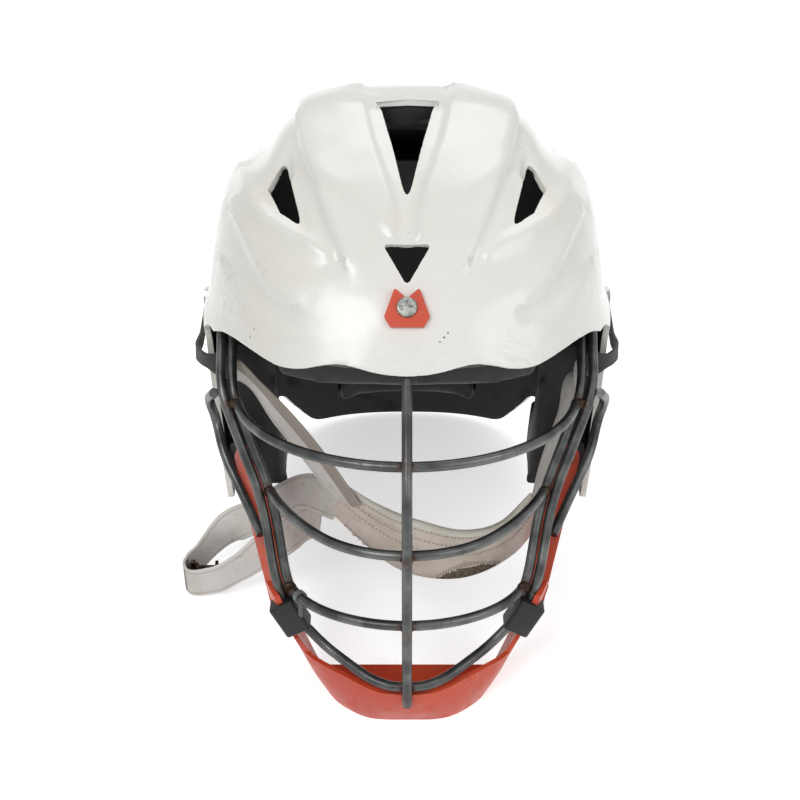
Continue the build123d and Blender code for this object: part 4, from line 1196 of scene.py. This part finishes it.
# Chin cup
def cup_frames():
    """Centres, width directions, heights and thicknesses along the chin cup."""
    rows = [(*(at(*place) / MM), height, thickness) for place, height, thickness in CUP_STATIONS]
    path = smooth_rows(rows, CUP_STEPS)
    centres = path[:, :3] * MM
    along = np.gradient(centres, axis=0)
    along /= np.linalg.norm(along, axis=1, keepdims=True)
    aim = np.array(turned(*CUP_AIM))
    widths = aim - along * (along @ aim)[:, None]
    widths /= np.linalg.norm(widths, axis=1, keepdims=True)
    return centres, widths, along, np.cross(widths, along), path[:, 3], path[:, 4]


def patch_top(across):
    """The upper limit of the mesh patch at a place across in mm, as a share of half the cup's height."""
    return -1 + PATCH_SHARE * max(0.0, 1 - ((across - PATCH_MIDDLE) / PATCH_REACH) ** 2)


def cup_surface(frames, row, up, lift=0.0):
    """A point on the front of the cup at a row and at a share of half the height, in metres."""
    centres, widths, along, out, heights, thicknesses = frames
    front = 1 if out[row][1] < 0 else -1
    depth = thicknesses[row] / 2 * max(0.0, 1 - abs(up) ** CUP_POWER) ** (1 / CUP_SIDE_POWER) + lift
    return centres[row] + (widths[row] * up * heights[row] / 2 + out[row] * front * depth) * MM


def build_cup(settings):
    """The padded chin cup with its rim, seams, stitches, frayed edge and mesh patch."""
    frames = cup_frames()
    centres, widths, along, out, heights, thicknesses = frames
    vertices, shares = [], []
    for row in range(CUP_STEPS):
        across = centres[row][0] / MM
        for point in range(CUP_POINTS):
            turn = 2 * math.pi * point / CUP_POINTS
            cosine, sine = math.cos(turn), math.sin(turn)
            up = math.copysign(abs(cosine) ** (2 / CUP_POWER), cosine)
            thick = math.copysign(abs(sine) ** (2 / CUP_SIDE_POWER), sine)
            from_seams = [(up - seam) * heights[row] / 2 for seam in CUP_SEAMS]
            groove = sum(math.exp(-(away / GROOVE_WIDTH) ** 2) for away in from_seams)
            depth = thicknesses[row] / 2 - min(GROOVE_DEPTH * groove, 1.0) * min(1, thicknesses[row] / 6)
            frayed = FRILL_FROM < across < FRILL_TO and up < -0.9
            frill = 0.7 * math.sin(row * 2.1) + 0.4 * math.sin(row * 5.3) if frayed else 0.0
            vertices.append(centres[row] + widths[row] * (up * heights[row] / 2 + frill) * MM
                            + out[row] * thick * max(depth, 0.6) * MM)
            shares.append((across, up))
    faces = grid_faces(CUP_STEPS, CUP_POINTS) + end_faces(CUP_STEPS, CUP_POINTS)
    cup = make_object("chin_cup_pad", vertices, faces, [
        cup_vinyl("Pink-beige vinyl pad", "#D2C5BA", "#BDAFA3", 0.0012),
        cup_vinyl("Pale vinyl rim", "#D9D4C8", "#C6C0B2", 0.0004),
        cup_mesh(),
    ])
    for face in cup.data.polygons:
        across = sum(shares[number][0] for number in face.vertices) / len(face.vertices)
        up = sum(shares[number][1] for number in face.vertices) / len(face.vertices)
        if up > CUP_SEAMS[0]:
            face.material_index = 1
        elif up < patch_top(across):
            face.material_index = 2
    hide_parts("chin_cup")
    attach(cup, ROOT)
    dashes = [[cup_surface(frames, step, seam, -0.15) for step in (row, row + 1)]
              for seam in CUP_SEAMS for row in range(4, CUP_STEPS - 6, 2)]
    for row in range(CUP_STEPS):
        across = centres[row][0] / MM
        top = patch_top(across)
        if top > -0.98:
            dashes.append([cup_surface(frames, row, top + share, 0.2) for share in (0.02, 0.20)])
        if FRILL_FROM < across < FRILL_TO:
            dashes.append([cup_surface(frames, row, -0.97, 0.1), cup_surface(frames, row, -0.78, 0.2)])
    threads = build_stitches("cup_stitches", dashes, CUP_THREAD, thread("Brown sewing thread", "#6A5A48"))
    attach(threads, ROOT)


# Cage
WELDED = [
    ("top_bar", "inner_side_wire_left"), ("top_bar", "inner_side_wire_right"),
    ("upper_bar", "inner_side_wire_left"), ("upper_bar", "inner_side_wire_right"),
    ("middle_bar", "inner_side_wire_left"), ("middle_bar", "inner_side_wire_right"),
    ("lower_bar", "inner_side_wire_left"), ("lower_bar", "inner_side_wire_right"),
    ("top_bar", "centre_bar"), ("upper_bar", "centre_bar"), ("middle_bar", "centre_bar"),
    ("lower_bar", "centre_bar"), ("bottom_bar", "centre_bar"),
]


def build_welds(places, material):
    """A small rough bead at each weld."""
    beads = []
    for number, place in enumerate(places):
        bpy.ops.mesh.primitive_ico_sphere_add(subdivisions=3, radius=1.0, location=(0, 0, 0))
        bead = bpy.context.object
        for vertex in bead.data.vertices:
            ripple = 0.12 * math.sin(9 * vertex.co.x + number) * math.cos(7 * vertex.co.z + 2 * number)
            vertex.co = place + vertex.co * Vector(BEAD_SIZE) * (1 + ripple) * MM
        bead.data.materials.append(material)
        beads.append(bead)
    welds = joined(beads, "weld_beads")
    activate(welds)
    bpy.ops.object.shade_smooth()
    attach(welds, ROOT)


def build_cage(settings):
    """Materials of the cage wires, and the weld beads."""
    places = [contact(*pair) for pair in WELDED]
    steel = cage_steel(settings.rust, places)
    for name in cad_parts:
        if name.endswith("_bar") or "_wire_" in name or name == "cage_tab":
            dress(name, steel)
    build_welds(places, plain_metal("Rusted weld bead", "#33241B", "#54493F", 0.55, 0.8))


def dress(node, material):
    """Gives a CAD node its material."""
    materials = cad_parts[node].data.materials
    materials.clear()
    materials.append(material)


def build_boots(material):
    """The black rubber clamps round the wire ends at the chin guard."""
    start, end = [np.array(place) for place in BOOT_ENDS]
    length = np.linalg.norm(end - start)
    axis = (end - start) / length
    across = np.array([1.0, 0.0, 0.0]) - axis * axis[0]
    across /= np.linalg.norm(across)
    ahead = np.cross(axis, across)
    corners = [(x * BOOT_WIDTH / 2, y * BOOT_DEPTH / 2) for x, y in ((-1, -1), (1, -1), (1, 1), (-1, 1))]
    outline = rounded(corners, BOOT_CORNER)
    for side, name in SIDES:
        axes = [part * (side, 1, 1) for part in (start, across, ahead, axis)]
        boot = prism(f"wire_boot_{name}", outline, *axes, 0, length)
        boot.data.materials.append(material)
        apply_modifier(boot, "BEVEL", width=1.4 * MM, segments=3, limit_method="ANGLE",
                       angle_limit=math.radians(40))
        smooth_shading(boot, 40)
        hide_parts(f"wire_clip_{name}")
        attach(boot, ROOT)


def build_fittings(settings):
    """Materials of the chin guard, badge, screws, hooks, clips and the rear fit system."""
    orange = orange_plastic(settings.wear)
    zinc = plain_metal("Zinc plated screw", "#7D7F7C", "#A9ABA6", 0.32, 0.25)
    bright = plain_metal("Nickel plated hook", "#9FA3A4", "#C6C9C9", 0.22)
    dark = plain_metal("Dark bronze hook", "#2A201C", "#4A3A33", 0.3, 0.3)
    rubber = black_moulding("Black rubber clip", "#121213", "#2A2A2A", 0.5, 0.0001)
    nylon = black_moulding("Black nylon fitting", "#17181A", "#2E2F30", 0.38, 0.00006)
    tie = black_moulding("Grey cable tie", "#6F7372", "#A5A8A5", 0.4, 0.00005)
    groups = {
        orange: ["badge", "chin_guard"],
        zinc: [
            "badge_screw", "badge_nut", "side_screw_left", "side_screw_right", "fit_screws", "strap_anchors",
            "temple_stud_left", "temple_stud_right",
        ],
        bright: ["temple_hook_left", "temple_hook_right"],
        dark: ["strap_hook", "strap_pin"],
        rubber: ["side_block_left", "side_block_right"],
        nylon: ["fit_housing", "fit_yoke", "fit_button"],
        tie: ["tie_scrap"],
    }
    for material, nodes in groups.items():
        for node in nodes:
            dress(node, material)
    build_boots(rubber)


# Stage
def build_stage(settings):
    """White floor and surroundings, soft lamps and the camera."""
    scene = bpy.context.scene
    scene.view_settings.view_transform = "Standard"
    world = bpy.data.worlds.new("Pale room")
    scene.world = world
    world.use_nodes = True
    tree = world.node_tree
    back = tree.nodes["Background"]
    path = add_node(tree, "ShaderNodeLightPath")
    seen = math_node(tree, "MAXIMUM", path.outputs["Is Camera Ray"], path.outputs["Is Transmission Ray"])
    plain = math_node(tree, "MAXIMUM", seen, product(tree, path.outputs["Is Glossy Ray"], 0.75))
    back.inputs["Color"].default_value = (1.0, 1.0, 1.0, 1.0)
    tree.links.new(math_node(tree, "MAXIMUM", plain, settings.room_light), back.inputs["Strength"])

    floor_paint = bpy.data.materials.new("White paper floor")
    floor_paint.use_nodes = True
    tree = floor_paint.node_tree
    shader = tree.nodes["Principled BSDF"]
    where = add_node(tree, "ShaderNodeTexCoord").outputs["Object"]
    paper = mixed(tree, noise(tree, where, 300.0, 3.0), linear("#F4F4F4"), linear("#FAFAFA"))
    path = add_node(tree, "ShaderNodeLightPath")
    seen = math_node(tree, "MAXIMUM", path.outputs["Is Camera Ray"], path.outputs["Is Glossy Ray"])
    plug(tree, shader, Base_Color=paper, Roughness=0.9, Emission_Color=(1.0, 1.0, 1.0, 1.0),
         Emission_Strength=product(tree, seen, 0.55))
    corners = [(x * FLOOR_REACH, y * FLOOR_REACH, 0) for x, y in ((-1, -1), (1, -1), (1, 1), (-1, 1))]
    floor = make_object("floor", corners, [(0, 1, 2, 3)], [floor_paint])

    target = Vector(CAMERA_TARGET)
    for name, (place, share, size) in LAMPS.items():
        light = bpy.data.lights.new(name, "AREA")
        light.energy = settings.lamp_power * share
        light.size = size
        lamp = bpy.data.objects.new(name, light)
        scene.collection.objects.link(lamp)
        lamp.location = place
        lamp.rotation_euler = (target - Vector(place)).to_track_quat("-Z", "Y").to_euler()

    camera = bpy.data.cameras.new("Camera")
    camera.lens = CAMERA_LENS
    camera.sensor_width = 36.0
    camera.shift_x = CAMERA_SHIFT
    holder = bpy.data.objects.new("Camera", camera)
    scene.collection.objects.link(holder)
    holder.location = CAMERA_PLACE
    holder.rotation_euler = (target - Vector(CAMERA_PLACE)).to_track_quat("-Z", "Y").to_euler()
    scene.camera = holder


# Add-on
class HelmetSettings(bpy.types.PropertyGroup):
    """What can be set about the helmet's looks."""

    relief: bpy.props.FloatProperty(
        name="Relief", description="Height of the moulded relief of the shell", default=1.0, min=0.0, max=2.0
    )
    wear: bpy.props.FloatProperty(
        name="Wear", description="Amount of scratches and rub marks", default=1.0, min=0.0, max=2.0,
        subtype="FACTOR"
    )
    rust: bpy.props.FloatProperty(
        name="Rust", description="Amount of rust on the cage", default=0.9, min=0.0, max=1.0, subtype="FACTOR"
    )
    lamp_power: bpy.props.FloatProperty(
        name="Lamp power", description="Power of the main lamp", default=8.0, min=0.0, unit="POWER"
    )
    room_light: bpy.props.FloatProperty(
        name="Room light", description="Strength of the light from all round", default=0.42, min=0.0, max=2.0
    )


class HELMET_OT_shell(bpy.types.Operator):
    """Builds the white shell with its relief, vents and holes."""

    bl_idname = "helmet.shell"
    bl_label = "Build the shell"

    def execute(self, context):
        build_shell(context.scene.helmet)
        return {"FINISHED"}


class HELMET_OT_pads(bpy.types.Operator):
    """Builds the foam pads inside the shell."""

    bl_idname = "helmet.pads"
    bl_label = "Build the foam pads"

    def execute(self, context):
        build_pads(context.scene.helmet)
        return {"FINISHED"}


class HELMET_OT_straps(bpy.types.Operator):
    """Builds the four woven chin straps."""

    bl_idname = "helmet.straps"
    bl_label = "Build the chin straps"

    def execute(self, context):
        build_straps(context.scene.helmet)
        return {"FINISHED"}


class HELMET_OT_cup(bpy.types.Operator):
    """Builds the padded chin cup with its stitches."""

    bl_idname = "helmet.cup"
    bl_label = "Build the chin cup"

    def execute(self, context):
        build_cup(context.scene.helmet)
        return {"FINISHED"}


class HELMET_OT_cage(bpy.types.Operator):
    """Gives the cage wires their steel and builds the weld beads."""

    bl_idname = "helmet.cage"
    bl_label = "Finish the cage"

    def execute(self, context):
        build_cage(context.scene.helmet)
        return {"FINISHED"}


class HELMET_OT_fittings(bpy.types.Operator):
    """Gives the chin guard, screws, hooks and fit system their materials."""

    bl_idname = "helmet.fittings"
    bl_label = "Finish the guard and the fittings"

    def execute(self, context):
        build_fittings(context.scene.helmet)
        return {"FINISHED"}


class HELMET_OT_stage(bpy.types.Operator):
    """Builds the floor, the lamps and the camera."""

    bl_idname = "helmet.stage"
    bl_label = "Build the stage"

    def execute(self, context):
        build_stage(context.scene.helmet)
        return {"FINISHED"}


class HELMET_PT_panel(bpy.types.Panel):
    """Sidebar panel with the helmet's settings and steps."""

    bl_label = "Helmet"
    bl_idname = "HELMET_PT_panel"
    bl_space_type = "VIEW_3D"
    bl_region_type = "UI"
    bl_category = "Helmet"

    def draw(self, context):
        for key in HelmetSettings.__annotations__:
            self.layout.prop(context.scene.helmet, key)
        for step in STEPS:
            self.layout.operator(step.bl_idname)


STEPS = [
    HELMET_OT_shell, HELMET_OT_pads, HELMET_OT_straps, HELMET_OT_cup, HELMET_OT_cage, HELMET_OT_fittings,
    HELMET_OT_stage,
]
CLASSES = [HelmetSettings, *STEPS, HELMET_PT_panel]


def register():
    """Adds the classes and the settings to Blender."""
    for item in CLASSES:
        bpy.utils.register_class(item)
    bpy.types.Scene.helmet = bpy.props.PointerProperty(type=HelmetSettings)


def unregister():
    """Takes the settings and the classes out of Blender."""
    del bpy.types.Scene.helmet
    for item in reversed(CLASSES):
        bpy.utils.unregister_class(item)


def main():
    """Builds every group of pieces."""
    register()
    bpy.ops.helmet.shell()
    bpy.ops.helmet.pads()
    bpy.ops.helmet.straps()
    bpy.ops.helmet.cup()
    bpy.ops.helmet.cage()
    bpy.ops.helmet.fittings()
    bpy.ops.helmet.stage()


if __name__ == "__main__":
    main()
